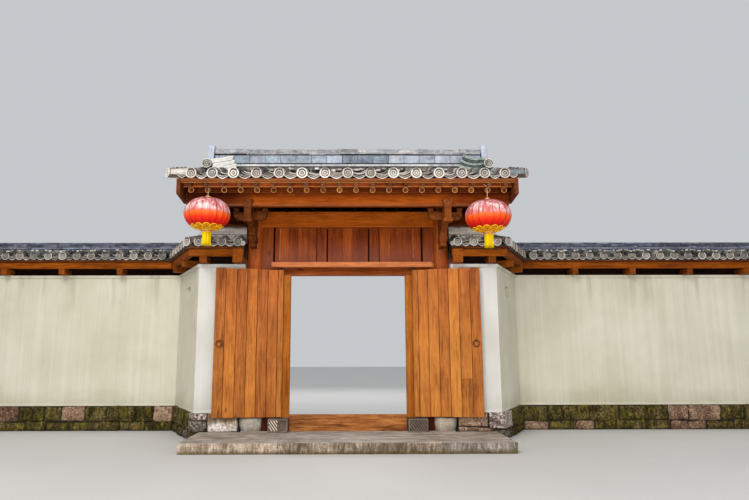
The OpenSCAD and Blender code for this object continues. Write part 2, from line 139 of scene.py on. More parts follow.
class Build:
    """Collects verts, faces, a tone per vertex, a material index and smooth flag per face."""

    def __init__(self):
        self.v, self.f, self.t, self.m, self.s = [], [], [], [], []

    def add(self, verts, faces, tone=0.5, mat=0, smooth=False, flip=False):
        n = len(self.v)
        self.v.extend(tuple(p) for p in verts)
        self.t.extend([tone] * len(verts) if isinstance(tone, (int, float)) else tone)
        for f in faces:
            f = [n + k for k in f]
            self.f.append(f[::-1] if flip else f)
            self.m.append(mat)
            self.s.append(smooth)

    def make(self, name, mats, body=ROOT, replaces=(), bevel=0.0, segments=1, angle=40, weld=False):
        me = bpy.data.meshes.new(name)
        me.from_pydata(self.v, [], self.f)
        for mt in mats:
            me.materials.append(mt)
        me.polygons.foreach_set("material_index", self.m)
        me.polygons.foreach_set("use_smooth", self.s)
        a = me.attributes.new("tone", "FLOAT", "POINT")
        a.data.foreach_set("value", self.t)
        if weld:
            bm = bmesh.new()
            bm.from_mesh(me)
            bmesh.ops.remove_doubles(bm, verts=bm.verts, dist=1e-5)
            bmesh.ops.recalc_face_normals(bm, faces=bm.faces)
            bm.to_mesh(me)
            bm.free()
        me.validate()
        me.update()
        o = bpy.data.objects.new(name, me)
        bpy.context.scene.collection.objects.link(o)
        if bevel:
            md = o.modifiers.new("bevel", "BEVEL")
            md.width, md.segments, md.limit_method = bevel, segments, "ANGLE"
            md.angle_limit = math.radians(angle)
            md.use_clamp_overlap = True
        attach(o, body)
        if replaces:
            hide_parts(*replaces)
        return o


BOX_F = [(0, 3, 2, 1), (4, 5, 6, 7), (0, 1, 5, 4), (1, 2, 6, 5), (2, 3, 7, 6), (3, 0, 4, 7)]


def same(p):
    return p


def mirror_x(p):
    return Vector((-p[0], p[1], p[2]))


def box(B, a, b, tone=0.5, mat=0, place=same, flip=False):
    (x0, y0, z0), (x1, y1, z1) = a, b
    c = [(x0, y0, z0), (x1, y0, z0), (x1, y1, z0), (x0, y1, z0), (x0, y0, z1), (x1, y0, z1), (x1, y1, z1), (x0, y1, z1)]
    B.add([place(Vector(p)) for p in c], BOX_F, tone, mat, flip=flip)


def inset(pts, c):
    """Offsets a counter-clockwise polygon inwards by c."""
    out = []
    n = len(pts)
    for i in range(n):
        p0, p1, p2 = Vector(pts[i - 1]), Vector(pts[i]), Vector(pts[(i + 1) % n])
        e1, e2 = (p1 - p0), (p2 - p1)
        if e1.length < 1e-7 or e2.length < 1e-7:
            out.append(tuple(p1))
            continue
        e1.normalize(), e2.normalize()
        n1, n2 = Vector((-e1.y, e1.x)), Vector((-e2.y, e2.x))
        k = max(0.35, 1 + n1.dot(n2))
        out.append(tuple(p1 + (n1 + n2) / k * c))
    return out


def prism(B, pts, w0, w1, P, tone=0.5, mat=0, c=0.0, smooth=False, cap_mat=None, flip=False):
    """Extrudes a counter-clockwise polygon (a, b) from w0 to w1; P(a, b, w) gives the point. Chamfers the ends by c."""
    if c:
        small = inset(pts, c)
        rings = [(small, w0), (pts, w0 + c), (pts, w1 - c), (small, w1)]
    else:
        rings = [(pts, w0), (pts, w1)]
    n = len(pts)
    verts = [P(a, b, w) for poly, w in rings for a, b in poly]
    faces = []
    for r in range(len(rings) - 1):
        for k in range(n):
            j = (k + 1) % n
            faces.append((r * n + k, r * n + j, (r + 1) * n + j, (r + 1) * n + k))
    B.add(verts, faces, tone, mat, smooth, flip)
    last = (len(rings) - 1) * n
    B.add([P(a, b, rings[0][1]) for a, b in rings[0][0]], [list(range(n))[::-1]], tone, mat if cap_mat is None else cap_mat, False, flip)
    B.add([P(a, b, rings[-1][1]) for a, b in rings[-1][0]], [list(range(n))], tone, mat if cap_mat is None else cap_mat, False, flip)


def basis(axis):
    w = Vector(axis).normalized()
    u = w.orthogonal().normalized() if abs(w.z) > 0.9 else Z.cross(w).normalized()
    return u, w.cross(u), w


def revolve(B, prof, origin, axis, segs=24, tone=0.5, mats=0, smooth=True, a0=0.0, a1=2 * math.pi):
    """Turns a profile of (radius, height) about an axis. mats is one index or one for each band."""
    u, v, w = basis(axis)
    o = Vector(origin)
    full = abs(a1 - a0) > 6.28
    cols = segs if full else segs + 1
    for b in range(len(prof) - 1):
        verts, faces = [], []
        for (r, h) in (prof[b], prof[b + 1]):
            for k in range(cols):
                a = a0 + (a1 - a0) * k / segs
                verts.append(o + w * h + (u * math.cos(a) + v * math.sin(a)) * max(r, 1e-5))
        for k in range(segs):
            j = (k + 1) % cols
            faces.append((k, j, cols + j, cols + k))
        B.add(verts, faces, tone if isinstance(tone, (int, float)) else tone[b], mats if isinstance(mats, int) else mats[b], smooth)


def tube(B, pts, r, segs=8, tone=0.5, mat=0, closed=False, caps=True):
    pts = [Vector(p) for p in pts]
    n = len(pts)
    radii = r if isinstance(r, (list, tuple)) else [r] * n
    verts = []
    t0 = (pts[1] - pts[0]).normalized()
    up = Z if abs(t0.z) < 0.9 else Vector((0, 1, 0))
    u = (up - t0 * up.dot(t0)).normalized()
    for i in range(n):
        if closed:
            t = (pts[(i + 1) % n] - pts[i - 1]).normalized()
        else:
            t = (pts[min(i + 1, n - 1)] - pts[max(i - 1, 0)]).normalized()
        u = (u - t * u.dot(t)).normalized()
        v = t.cross(u)
        for k in range(segs):
            a = 2 * math.pi * k / segs
            verts.append(pts[i] + (u * math.cos(a) + v * math.sin(a)) * radii[i])
    faces = []
    for i in range(n if closed else n - 1):
        j = (i + 1) % n
        for k in range(segs):
            l = (k + 1) % segs
            faces.append((i * segs + k, i * segs + l, j * segs + l, j * segs + k))
    if caps and not closed:
        faces.append(tuple(range(segs))[::-1])
        faces.append(tuple((n - 1) * segs + k for k in range(segs)))
    B.add(verts, faces, tone, mat, True)


def rough_block(B, a, b, n, r, amp, freq, tone=0.5, mat=0, place=same, seed=0.0, flip=False, mat_top=None):
    """A stone: a box from a to b with rounded edges of radius r, a grid of n cells on each axis, pushed about by noise."""
    a, b = Vector(a), Vector(b)
    size = b - a
    r = min(r, min(size) * 0.45)
    lines = []
    for k in range(3):
        inner = [a[k] + r + (size[k] - 2 * r) * q / n[k] for q in range(n[k] + 1)]
        lines.append([a[k], a[k] + 0.3 * r] + inner + [b[k] - 0.3 * r, b[k]])
    off = Vector((seed * 17.3, seed * 5.1, seed * 9.7))

    def shape(p):
        q = Vector([min(max(p[k], a[k] + r), b[k] - r) for k in range(3)])
        d = p - q
        if d.length > 1e-9:
            d = d.normalized() * r
        p = q + d
        p = p + noise.noise_vector(p * freq + off) * amp + noise.noise_vector(p * freq * 3.1 + off) * amp * 0.35 + noise.noise_vector(p * freq * 8.3 + off) * amp * 0.14
        return place(p)

    for k, hi in ((0, 0), (0, 1), (1, 0), (1, 1), (2, 0), (2, 1)):
        i, j = (k + 1) % 3, (k + 2) % 3
        li, lj = lines[i], lines[j]
        verts = []
        for q in lj:
            for p in li:
                c = [0.0, 0.0, 0.0]
                c[k] = b[k] if hi else a[k]
                c[i], c[j] = p, q
                verts.append(shape(Vector(c)))
        w = len(li)
        faces = []
        for y in range(len(lj) - 1):
            for x in range(w - 1):
                f = (y * w + x, y * w + x + 1, (y + 1) * w + x + 1, (y + 1) * w + x)
                faces.append(f if hi else f[::-1])
        m_ = mat if (mat_top is None or not (k == 2 and hi)) else mat_top
        B.add(verts, faces, tone, m_, True, flip)


# ---------------------------------------------------------------- materials


class Nodes:
    def __init__(self, name):
        self.mat = bpy.data.materials.new(name)
        self.mat.use_nodes = True
        self.nt = self.mat.node_tree
        self.nt.nodes.clear()
        self.out = self.nt.nodes.new("ShaderNodeOutputMaterial")
        self.bsdf = self.nt.nodes.new("ShaderNodeBsdfPrincipled")
        self.nt.links.new(self.bsdf.outputs[0], self.out.inputs[0])
        self.coord = self.nt.nodes.new("ShaderNodeTexCoord")

    def link(self, a, b):
        self.nt.links.new(a, b)

    def put(self, socket, value):
        if isinstance(value, bpy.types.NodeSocket):
            self.link(value, socket)
        elif isinstance(value, tuple) and len(value) == 3 and socket.type == "RGBA":
            socket.default_value = (*value, 1)
        else:
            socket.default_value = value

    def vec(self, scale=(1, 1, 1), loc=(0, 0, 0), rot=(0, 0, 0), source=None):
        n = self.nt.nodes.new("ShaderNodeMapping")
        self.link(source or self.coord.outputs["Object"], n.inputs["Vector"])
        self.put(n.inputs["Scale"], scale)
        self.put(n.inputs["Location"], loc)
        self.put(n.inputs["Rotation"], rot)
        return n.outputs[0]

    def noise(self, vec, scale=5.0, detail=4.0, rough=0.55, distort=0.0, out="Fac"):
        n = self.nt.nodes.new("ShaderNodeTexNoise")
        self.link(vec, n.inputs["Vector"])
        n.inputs["Scale"].default_value = scale
        n.inputs["Detail"].default_value = detail
        n.inputs["Roughness"].default_value = rough
        n.inputs["Distortion"].default_value = distort
        return n.outputs[out]

    def voronoi(self, vec, scale=5.0, feature="F1", out="Distance"):
        n = self.nt.nodes.new("ShaderNodeTexVoronoi")
        n.feature = feature
        self.link(vec, n.inputs["Vector"])
        n.inputs["Scale"].default_value = scale
        return n.outputs[out]

    def wave(self, vec, scale=5.0, distort=2.0, detail=2.0, kind="BANDS", direction="X"):
        n = self.nt.nodes.new("ShaderNodeTexWave")
        n.wave_type = kind
        if kind == "BANDS":
            n.bands_direction = direction
        self.link(vec, n.inputs["Vector"])
        n.inputs["Scale"].default_value = scale
        n.inputs["Distortion"].default_value = distort
        n.inputs["Detail"].default_value = detail
        return n.outputs["Fac"]

    def ramp(self, fac, stops, interp="LINEAR"):
        n = self.nt.nodes.new("ShaderNodeValToRGB")
        n.color_ramp.interpolation = interp
        while len(n.color_ramp.elements) < len(stops):
            n.color_ramp.elements.new(0.5)
        for e, (p, c) in zip(n.color_ramp.elements, stops):
            e.position = p
            e.color = (*c, 1) if isinstance(c, tuple) else (c, c, c, 1)
        self.link(fac, n.inputs[0])
        return n.outputs[0]

    def mix(self, fac, a, b, kind="MIX"):
        n = self.nt.nodes.new("ShaderNodeMix")
        n.data_type = "RGBA"
        n.blend_type = kind
        self.put(n.inputs[0], fac)
        self.put(n.inputs[6], a)
        self.put(n.inputs[7], b)
        return n.outputs[2]

    def math(self, op, a, b=0.0, clamp=False):
        n = self.nt.nodes.new("ShaderNodeMath")
        n.operation = op
        n.use_clamp = clamp
        self.put(n.inputs[0], a)
        self.put(n.inputs[1], b)
        return n.outputs[0]

    def attr(self, name="tone"):
        n = self.nt.nodes.new("ShaderNodeAttribute")
        n.attribute_name = name
        return n.outputs["Fac"]

    def split(self, vec=None):
        n = self.nt.nodes.new("ShaderNodeSeparateXYZ")
        self.link(vec or self.coord.outputs["Object"], n.inputs[0])
        return n.outputs

    def normal_z(self):
        g = self.nt.nodes.new("ShaderNodeNewGeometry")
        return self.split(g.outputs["Normal"])[2]

    def shifted(self, vec, amount):
        """Moves a texture by the piece's tone, so that neighbours don't share a pattern."""
        t = self.attr()
        c = self.nt.nodes.new("ShaderNodeCombineXYZ")
        self.put(c.inputs[0], self.math("MULTIPLY", t, amount))
        self.put(c.inputs[1], self.math("MULTIPLY", t, amount * 0.7))
        self.put(c.inputs[2], self.math("MULTIPLY", t, amount * 0.4))
        a = self.nt.nodes.new("ShaderNodeVectorMath")
        a.operation = "ADD"
        self.link(vec, a.inputs[0])
        self.link(c.outputs[0], a.inputs[1])
        return a.outputs[0]

    def bump(self, height, strength=0.3, dist=0.01, normal=None):
        n = self.nt.nodes.new("ShaderNodeBump")
        n.inputs["Strength"].default_value = strength
        n.inputs["Distance"].default_value = dist
        self.link(height, n.inputs["Height"])
        if normal is not None:
            self.link(normal, n.inputs["Normal"])
        return n.outputs[0]

    def finish(self, color, rough, normal=None, **plain):
        self.put(self.bsdf.inputs["Base Color"], color)
        self.put(self.bsdf.inputs["Roughness"], rough)
        if normal is not None:
            self.link(normal, self.bsdf.inputs["Normal"])
        for k, v in plain.items():
            self.bsdf.inputs[k.replace("_", " ")].default_value = v
        return self.mat



def wood(name, base, grain="z", rough=(0.52, 0.78), dirt=0.2, figure=1.0, spec=0.06, span=(0.40, 1.62), red=0.5, upper_darkening=None, lower_tint=None, ends=None):
    """Timber: wavy growth bands and fibres along the grain, dark pores, a few knots, broad weathering and a tone for each board."""
    n = Nodes(name)
    k = {"x": (0.06, 1, 1), "y": (1, 0.06, 1), "z": (1, 1, 0.06)}[grain]

    def along(q, own):
        return n.vec(tuple(q * v for v in k), source=own)

    own = n.shifted(n.vec((1, 1, 1)), 37.0)
    bands = n.noise(along(16.0, own), 1.0, 5.0, 0.68, 1.6)
    fibre = n.noise(along(95.0, own), 1.0, 3.0, 0.7)
    pores = n.ramp(n.noise(along(52.0, own), 1.0, 5.0, 0.75, 0.4), [(0.30, 0.35), (0.44, 1.0)])
    broad = n.noise(own, 1.9, 4.0, 0.6)
    f = n.math("MULTIPLY", n.math("SUBTRACT", bands, 0.5), 1.45 * figure)
    f = n.math("ADD", f, n.math("MULTIPLY", n.math("SUBTRACT", fibre, 0.5), 0.75 * figure))
    f = n.math("ADD", f, n.math("MULTIPLY", n.math("SUBTRACT", broad, 0.5), 0.75))
    f = n.math("ADD", f, n.attr(), clamp=True)
    dark = (base[0] * span[0], base[1] * span[0] * 0.80, base[2] * span[0] * 0.75)
    light = (min(0.95, base[0] * span[1]), min(0.95, base[1] * span[1] * 1.12), min(0.95, base[2] * span[1] * 1.10))
    color = n.ramp(f, [(0.0, dark), (0.5, base), (1.0, light)])
    color = n.mix(n.math("SUBTRACT", 1.0, pores), color, tuple(c * 0.28 for c in base))
    # every board leans to red or gold by itself
    own_red = n.math("FRACT", n.math("MULTIPLY", n.attr(), 7.31))
    color = n.mix(n.math("MULTIPLY", own_red, red), color, (0.80, 0.62, 0.66), "MULTIPLY")
    knots = n.ramp(n.voronoi(n.vec(tuple((1.5 if q == 1 else 0.6) for q in k), source=own), 1.6), [(0.030, 1.0), (0.060, 0.0)])
    color = n.mix(n.math("MULTIPLY", knots, 0.75), color, tuple(c * 0.16 for c in base))
    dust = n.ramp(n.noise(n.vec((1, 1, 1)), 3.2, 6.0, 0.7), [(0.48, 0.0), (0.74, 1.0)])
    color = n.mix(n.math("MULTIPLY", dust, dirt), color, tuple(c * 0.30 for c in base))
    # upper_darkening multiplies the colour by a tint that grows from z0 up to z1. On the purlins it is painted shade
    # under the eaves; on the door planks it makes their heads redder and darker.
    if upper_darkening:
        z0, z1, tint = upper_darkening
        w = n.math("ADD", n.split()[2], n.math("MULTIPLY", n.math("SUBTRACT", broad, 0.5), 0.22 if z1 - z0 < 0.5 else 1.4))
        w = n.ramp(n.math("DIVIDE", n.math("SUBTRACT", w, z0), z1 - z0), [(0.0, 0.0), (1.0, 1.0)])
        color = n.mix(w, color, tint, "MULTIPLY")
    # painted shade: the colour is multiplied by a tint towards each end along x, beyond about 1.5 m to the left and 1.8
    # m to the right
    if ends:
        x = n.math("ADD", n.split()[0], n.math("MULTIPLY", n.math("SUBTRACT", broad, 0.5), 0.30))
        x = n.math("DIVIDE", n.math("ADD", x, 2.6), 5.2)
        color = n.mix(1.0, color, n.ramp(x, [(0.0, ends[0]), (0.150, ends[0]), (0.215, (1.0, 1.0, 1.0)), (0.790, (1.0, 1.0, 1.0)), (0.850, ends[1]), (1.0, ends[1])]), "MULTIPLY")
    # lower_tint mixes a greyer mauve tint in below z1, fully at z0 and under
    if lower_tint:
        z0, z1, tint, much = lower_tint
        w = n.math("ADD", n.split()[2], n.math("MULTIPLY", n.math("SUBTRACT", bands, 0.5), (z1 - z0) * 1.2))
        w = n.ramp(n.math("DIVIDE", n.math("SUBTRACT", w, z0), z1 - z0), [(0.0, 1.0), (1.0, 0.0)])
        color = n.mix(n.math("MULTIPLY", w, much), color, tint)
    b = n.bump(bands, 0.45, 0.004)
    b = n.bump(fibre, 0.30, 0.0012, b)
    return n.finish(color, n.ramp(bands, [(0.25, rough[1]), (0.75, rough[0])]), b, Specular_IOR_Level=spec)



def stone(name, dark, mid, light, moss=0.0, speckle=0.25, rough=0.9, bump=0.6, scale=1.0, low=None, streak=0.0, pits=0.0, worn=None, drip=0.0, cap=None, grit=0.0, tall=1.0):
    n = Nodes(name)
    p = n.shifted(n.vec((1, 1, 1)), 11.0)
    broad = n.noise(p, 3.0 * scale, 7.0, 0.66)
    grain = n.noise(p, 70.0 * scale, 4.0, 0.75)
    f = n.math("MULTIPLY", n.math("SUBTRACT", broad, 0.5), 1.5)
    f = n.math("ADD", f, n.math("MULTIPLY", n.math("SUBTRACT", grain, 0.5), speckle * 2.6))
    if grit:
        f = n.math("ADD", f, n.math("MULTIPLY", n.math("SUBTRACT", n.noise(n.vec((1, 1, tall), source=p), 27.0, 4.0, 0.72), 0.5), grit * 2.4))
    if streak:
        line = n.noise(n.vec((1.0, 9.0, 9.0), source=p), 1.4, 6.0, 0.7, 0.8)
        f = n.math("ADD", f, n.math("MULTIPLY", n.math("SUBTRACT", line, 0.5), streak * 2.0))
    f = n.math("ADD", f, n.attr(), clamp=True)
    color = n.ramp(f, [(0.0, dark), (0.5, mid), (1.0, light)])
    cracks = n.ramp(n.voronoi(n.vec((1, 1, 1.4), source=p), 6.0 * scale, "DISTANCE_TO_EDGE"), [(0.0, 1.0), (0.035, 0.0)])
    color = n.mix(n.math("MULTIPLY", cracks, 0.22), color, tuple(c * 0.3 for c in dark))
    if pits:
        holes = n.ramp(n.noise(p, 30.0, 6.0, 0.8), [(0.34, 1.0), (0.44, 0.0)])
        color = n.mix(n.math("MULTIPLY", holes, pits), color, tuple(c * 0.35 for c in dark))
    if drip:
        runs = n.ramp(n.noise(n.vec((24.0, 24.0, 2.6)), 1.0, 5.0, 0.72), [(0.42, 0.0), (0.58, 1.0)])
        where = n.ramp(n.noise(n.vec((1.0, 1.0, 0.4)), 1.5, 3.0, 0.6), [(0.38, 0.15), (0.58, 1.0)])
        color = n.mix(n.math("MULTIPLY", n.math("MULTIPLY", runs, where), drip), color, (0.085, 0.052, 0.026))
    if cap:
        z0, z1, tint = cap
        w = n.math("ADD", n.split()[2], n.math("MULTIPLY", n.math("SUBTRACT", n.noise(n.vec((14, 14, 3)), 1.0, 6.0, 0.75), 0.5), 0.42))
        w = n.ramp(n.math("DIVIDE", n.math("SUBTRACT", w, z0), z1 - z0), [(0.0, 0.0), (1.0, 1.0)])
        stain = n.ramp(n.noise(n.vec((1, 1, 1)), 30.0, 5.0, 0.7), [(0.3, tuple(c * 0.45 for c in tint)), (0.6, tint), (0.75, tuple(min(1, c * 2.4) for c in tint))])
        color = n.mix(n.math("MULTIPLY", w, 0.9), color, stain)
    if worn:
        pale = n.ramp(n.noise(n.vec((1.0, 2.2, 1.0)), 1.7, 6.0, 0.72, 0.5), [(0.50, 0.0), (0.64, 1.0)])
        color = n.mix(n.math("MULTIPLY", pale, 0.55), color, worn)
    if moss:
        field = n.noise(n.vec((1, 1, 0.7), (4, 2, 1)), 4.2, 7.0, 0.74)
        mm = n.ramp(field, [(0.62 - 0.30 * moss, 0.0), (0.74 - 0.24 * moss, 1.0)])
        green = n.ramp(n.noise(n.vec((1, 1, 0.42)), 17.0, 7.0, 0.76), [(0.34, (0.010, 0.009, 0.003)), (0.47, (0.052, 0.043, 0.009)), (0.57, (0.150, 0.125, 0.018)), (0.64, (0.33, 0.270, 0.055)), (0.74, (0.55, 0.44, 0.16))])
        color = n.mix(n.math("MULTIPLY", mm, min(1.0, 0.5 + moss * 0.5)), color, green)
        black = n.ramp(n.noise(n.vec((1, 1, 0.5), (1, 7, 3)), 6.5, 7.0, 0.80), [(0.40, 1.0), (0.52, 0.0)])
        color = n.mix(n.math("MULTIPLY", black, 0.80 * min(1.0, moss + 0.2)), color, (0.010, 0.008, 0.004))
    if low is not None:
        z = n.split()[2]
        w = n.math("ADD", z, n.math("MULTIPLY", n.math("SUBTRACT", n.noise(n.vec((5, 5, 0.6)), 3.0, 5.0, 0.7), 0.5), low * 2.6))
        foot = n.ramp(n.math("DIVIDE", w, low * 2.0), [(0.20, 1.0), (0.75, 0.0)])
        brown = n.ramp(n.noise(n.vec((1, 1, 1)), 16.0, 5.0, 0.7), [(0.35, (0.035, 0.026, 0.008)), (0.62, (0.12, 0.085, 0.022)), (0.75, (0.14, 0.14, 0.020))])
        color = n.mix(n.math("MULTIPLY", foot, 0.85), color, brown)
    h = n.math("ADD", broad, n.math("MULTIPLY", grain, 0.25))
    b = n.bump(h, bump, 0.02)
    b = n.bump(grain, 0.35, 0.003, b)
    return n.finish(color, n.ramp(grain, [(0.2, rough - 0.12), (0.8, min(1.0, rough + 0.08))]), b, Specular_IOR_Level=0.08 if moss > 0.5 else 0.3)


def plaster(name, tint=(1.0, 1.0, 1.0), brush_=0.14):
    n = Nodes(name)
    p = n.vec((1, 1, 1))
    broad = n.noise(p, 0.9, 5.0, 0.6)
    fine = n.noise(p, 45.0, 5.0, 0.7)
    run_ = n.noise(n.vec((7.0, 7.0, 0.45)), 1.0, 5.0, 0.65)
    color = n.ramp(broad, [(0.25, (0.56, 0.525, 0.415)), (0.5, (0.645, 0.615, 0.510)), (0.75, (0.72, 0.695, 0.60))])
    z = n.split()[2]
    top = n.ramp(n.math("SUBTRACT", z, 2.0), [(0.1, 0.0), (0.85, 1.0)])
    streak = n.ramp(run_, [(0.52, 0.0), (0.72, 1.0)])
    color = n.mix(n.math("MULTIPLY", n.math("MULTIPLY", top, streak), 0.50), color, (0.26, 0.235, 0.16))
    foot = n.ramp(n.math("ADD", z, n.math("MULTIPLY", broad, 0.45)), [(0.55, 1.0), (1.05, 0.0)])
    color = n.mix(n.math("MULTIPLY", foot, 0.45), color, (0.29, 0.275, 0.16))
    spots = n.ramp(n.noise(p, 14.0, 6.0, 0.75), [(0.60, 0.0), (0.75, 1.0)])
    color = n.mix(n.math("MULTIPLY", spots, 0.20), color, (0.30, 0.285, 0.20))
    stripes = n.noise(n.vec((16.0, 16.0, 0.30)), 1.0, 4.0, 0.6)
    color = n.mix(n.ramp(stripes, [(0.36, brush_), (0.58, 0.0)]), color, (0.44, 0.43, 0.34))
    color = n.mix(n.ramp(stripes, [(0.52, 0.0), (0.68, brush_)]), color, (0.80, 0.785, 0.72))
    lower = n.ramp(n.math("ADD", z, n.math("MULTIPLY", n.noise(p, 3.0, 5.0, 0.7), 0.12)), [(0.50, 1.0), (0.58, 0.0)])
    color = n.mix(n.math("MULTIPLY", lower, 0.6), color, (0.80, 0.75, 0.64))
    color = n.mix(1.0, color, tint, "MULTIPLY")
    brush = n.noise(n.vec((1.4, 1.4, 9.0)), 2.0, 4.0, 0.7)
    b = n.bump(broad, 0.25, 0.03)
    b = n.bump(brush, 0.18, 0.004, b)
    b = n.bump(fine, 0.28, 0.003, b)
    return n.finish(color, n.ramp(fine, [(0.2, 0.80), (0.8, 0.96)]), b, Specular_IOR_Level=0.3)


def tile_mat(name, dark, mid, light, lichen=0.35, green=0.3, rough=0.85, soot=0.35, tint=0.0):
    n = Nodes(name)
    p = n.shifted(n.vec((1, 1, 1)), 7.0)
    broad = n.noise(p, 7.0, 6.0, 0.68)
    grain = n.noise(p, 60.0, 4.0, 0.75)
    f = n.math("MULTIPLY", n.math("SUBTRACT", broad, 0.5), 1.7)
    f = n.math("ADD", f, n.math("MULTIPLY", n.math("SUBTRACT", grain, 0.5), 0.5))
    f = n.math("ADD", f, n.attr(), clamp=True)
    color = n.ramp(f, [(0.0, dark), (0.5, mid), (1.0, light)])
    if tint:
        own = n.math("FRACT", n.math("MULTIPLY", n.attr(), 9.7))
        hue = n.ramp(own, [(0.0, (0.86, 1.02, 1.04)), (0.35, (1.0, 0.98, 1.06)), (0.65, (1.12, 0.98, 0.86)), (1.0, (1.10, 0.92, 0.90))])
        color = n.mix(tint, color, hue, "MULTIPLY")
    patch = n.ramp(n.noise(n.vec((1, 1, 1)), 11.0, 7.0, 0.78), [(0.50, 0.0), (0.62, 1.0)])
    color = n.mix(n.math("MULTIPLY", patch, lichen), color, (0.66, 0.61, 0.53))
    mossy = n.ramp(n.noise(n.vec((1, 1, 1), (3, 1, 2)), 8.0, 7.0, 0.76), [(0.53, 0.0), (0.66, 1.0)])
    color = n.mix(n.math("MULTIPLY", mossy, green), color, (0.085, 0.095, 0.035))
    black = n.ramp(n.noise(n.vec((1, 1, 1), (6, 5, 4)), 12.0, 6.0, 0.78), [(0.38, 1.0), (0.48, 0.0)])
    color = n.mix(n.math("MULTIPLY", black, soot), color, (0.030, 0.027, 0.024))
    b = n.bump(broad, 0.40, 0.012)
    b = n.bump(grain, 0.40, 0.003, b)
    return n.finish(color, n.ramp(grain, [(0.2, rough - 0.15), (0.8, min(1.0, rough + 0.1))]), b, Specular_IOR_Level=0.3)


def metal(name, dark, rust):
    n = Nodes(name)
    p = n.vec((1, 1, 1))
    a = n.noise(p, 60.0, 5.0, 0.65)
    color = n.ramp(a, [(0.35, dark), (0.62, rust), (0.8, tuple(c * 1.8 for c in dark))])
    r = n.ramp(n.noise(p, 90.0, 4.0, 0.6), [(0.3, 0.42), (0.7, 0.75)])
    return n.finish(color, r, n.bump(a, 0.3, 0.001), Metallic=0.75)



def lantern_cloth():
    """Red satin, orange under the middle, with a painted mauve sky reflection and sheen above it, and a fine weave."""
    n = Nodes("lantern_satin")
    t = n.attr()
    p = n.vec((1, 1, 1))
    mott = n.noise(p, 8.0, 6.0, 0.7)
    run_ = n.noise(n.vec((26.0, 26.0, 1.4)), 1.0, 4.0, 0.65)
    h = n.math("ADD", t, n.math("MULTIPLY", n.math("SUBTRACT", mott, 0.5), 0.045))
    h = n.math("ADD", h, n.math("MULTIPLY", n.math("SUBTRACT", run_, 0.5), 0.05))
    # up the height the colour runs deep red, orange under the middle, then pale mauve above it: the mauve is a painted
    # sky reflection
    color = n.ramp(h, [(0.0, (0.42, 0.003, 0.001)), (0.18, (0.66, 0.005, 0.001)), (0.28, (0.88, 0.020, 0.001)), (0.36, (0.92, 0.070, 0.004)), (0.445, (0.94, 0.150, 0.016)), (0.475, (0.80, 0.140, 0.060)), (0.52, (0.60, 0.110, 0.100)), (0.70, (0.58, 0.150, 0.165)), (0.86, (0.50, 0.110, 0.120)), (1.0, (0.34, 0.05, 0.04))])
    # pale patches over the upper half are a painted sheen, with darker mauve flecks in it
    pale = n.ramp(n.math("ADD", n.math("MULTIPLY", run_, 0.6), n.math("MULTIPLY", n.noise(p, 5.0, 3.0, 0.6), 0.55)), [(0.54, 0.0), (0.66, 1.0)])
    top = n.ramp(h, [(0.47, 0.0), (0.56, 1.0)])
    color = n.mix(n.math("MULTIPLY", n.math("MULTIPLY", pale, top), 0.72), color, (0.98, 0.82, 0.80))
    fleck = n.ramp(n.noise(n.vec((5, 5, 9)), 3.0, 6.0, 0.75), [(0.56, 0.0), (0.66, 1.0)])
    color = n.mix(n.math("MULTIPLY", n.math("MULTIPLY", fleck, top), 0.55), color, (0.50, 0.13, 0.14))
    dirt = n.ramp(n.noise(n.vec((9, 9, 2)), 2.0, 5.0, 0.6), [(0.5, 0.0), (0.8, 1.0)])
    color = n.mix(n.math("MULTIPLY", dirt, 0.18), color, (0.30, 0.02, 0.01))
    weave = n.wave(n.vec((0, 0, 260.0)), 1.0, 0.6, 2.0, "BANDS", "Z")
    b = n.bump(weave, 0.12, 0.001)
    b = n.bump(mott, 0.12, 0.01, b)
    r = n.ramp(mott, [(0.3, 0.36), (0.7, 0.50)])
    return n.finish(color, r, b, Specular_IOR_Level=0.22)


def gold_mat(name, a, b_):
    n = Nodes(name)
    p = n.vec((1, 1, 1))
    f = n.noise(p, 38.0, 4.0, 0.6)
    color = n.ramp(n.math("ADD", n.math("MULTIPLY", n.math("SUBTRACT", f, 0.5), 0.9), n.attr(), clamp=True), [(0.1, a), (0.9, b_)])
    return n.finish(color, n.ramp(f, [(0.3, 0.40), (0.7, 0.65)]), n.bump(f, 0.25, 0.002), Specular_IOR_Level=0.25)


def yarn(name, dark, light):
    n = Nodes(name)
    p = n.vec((90, 90, 3))
    f = n.noise(p, 1.0, 5.0, 0.65)
    color = n.ramp(n.math("ADD", n.math("MULTIPLY", n.math("SUBTRACT", f, 0.5), 1.0), n.attr(), clamp=True), [(0.1, dark), (0.8, light)])
    return n.finish(color, 0.8, n.bump(f, 0.5, 0.003), Specular_IOR_Level=0.15)


M = {}
M["door"] = wood("plank_wood", (0.475, 0.168, 0.027), "z", (0.50, 0.72), 0.16, 1.15, 0.14, (0.36, 1.55), 0.75, (1.3, 2.9, (0.90, 0.74, 0.80)))
M["column"] = wood("column_wood", (0.335, 0.070, 0.007), "z", (0.42, 0.60), 0.35, 1.2, 0.20, (0.30, 1.7))
M["frame_z"] = wood("frame_wood_upright", (0.25, 0.054, 0.012), "z", dirt=0.30)
M["foot_z"] = wood("panel_foot_wood", (0.075, 0.016, 0.006), "z", dirt=0.30)
M["frame_x"] = wood("frame_wood_level", (0.24, 0.055, 0.012), "x", dirt=0.25)
M["head_x"] = wood("door_head_wood", (0.180, 0.038, 0.005), "x", dirt=0.25, figure=1.2, span=(0.35, 1.9))
M["panel_z"] = wood("panel_wood", (0.270, 0.054, 0.007), "z", figure=1.15, span=(0.38, 1.65), red=0.8, lower_tint=(2.90, 3.36, (0.205, 0.078, 0.058), 0.62))
M["joint"] = wood("joint_shadow", (0.030, 0.008, 0.004), "z", (0.7, 0.9), 0.3)
M["jamb_z"] = wood("jamb_wood", (0.330, 0.100, 0.012), "z", dirt=0.25, figure=1.1)
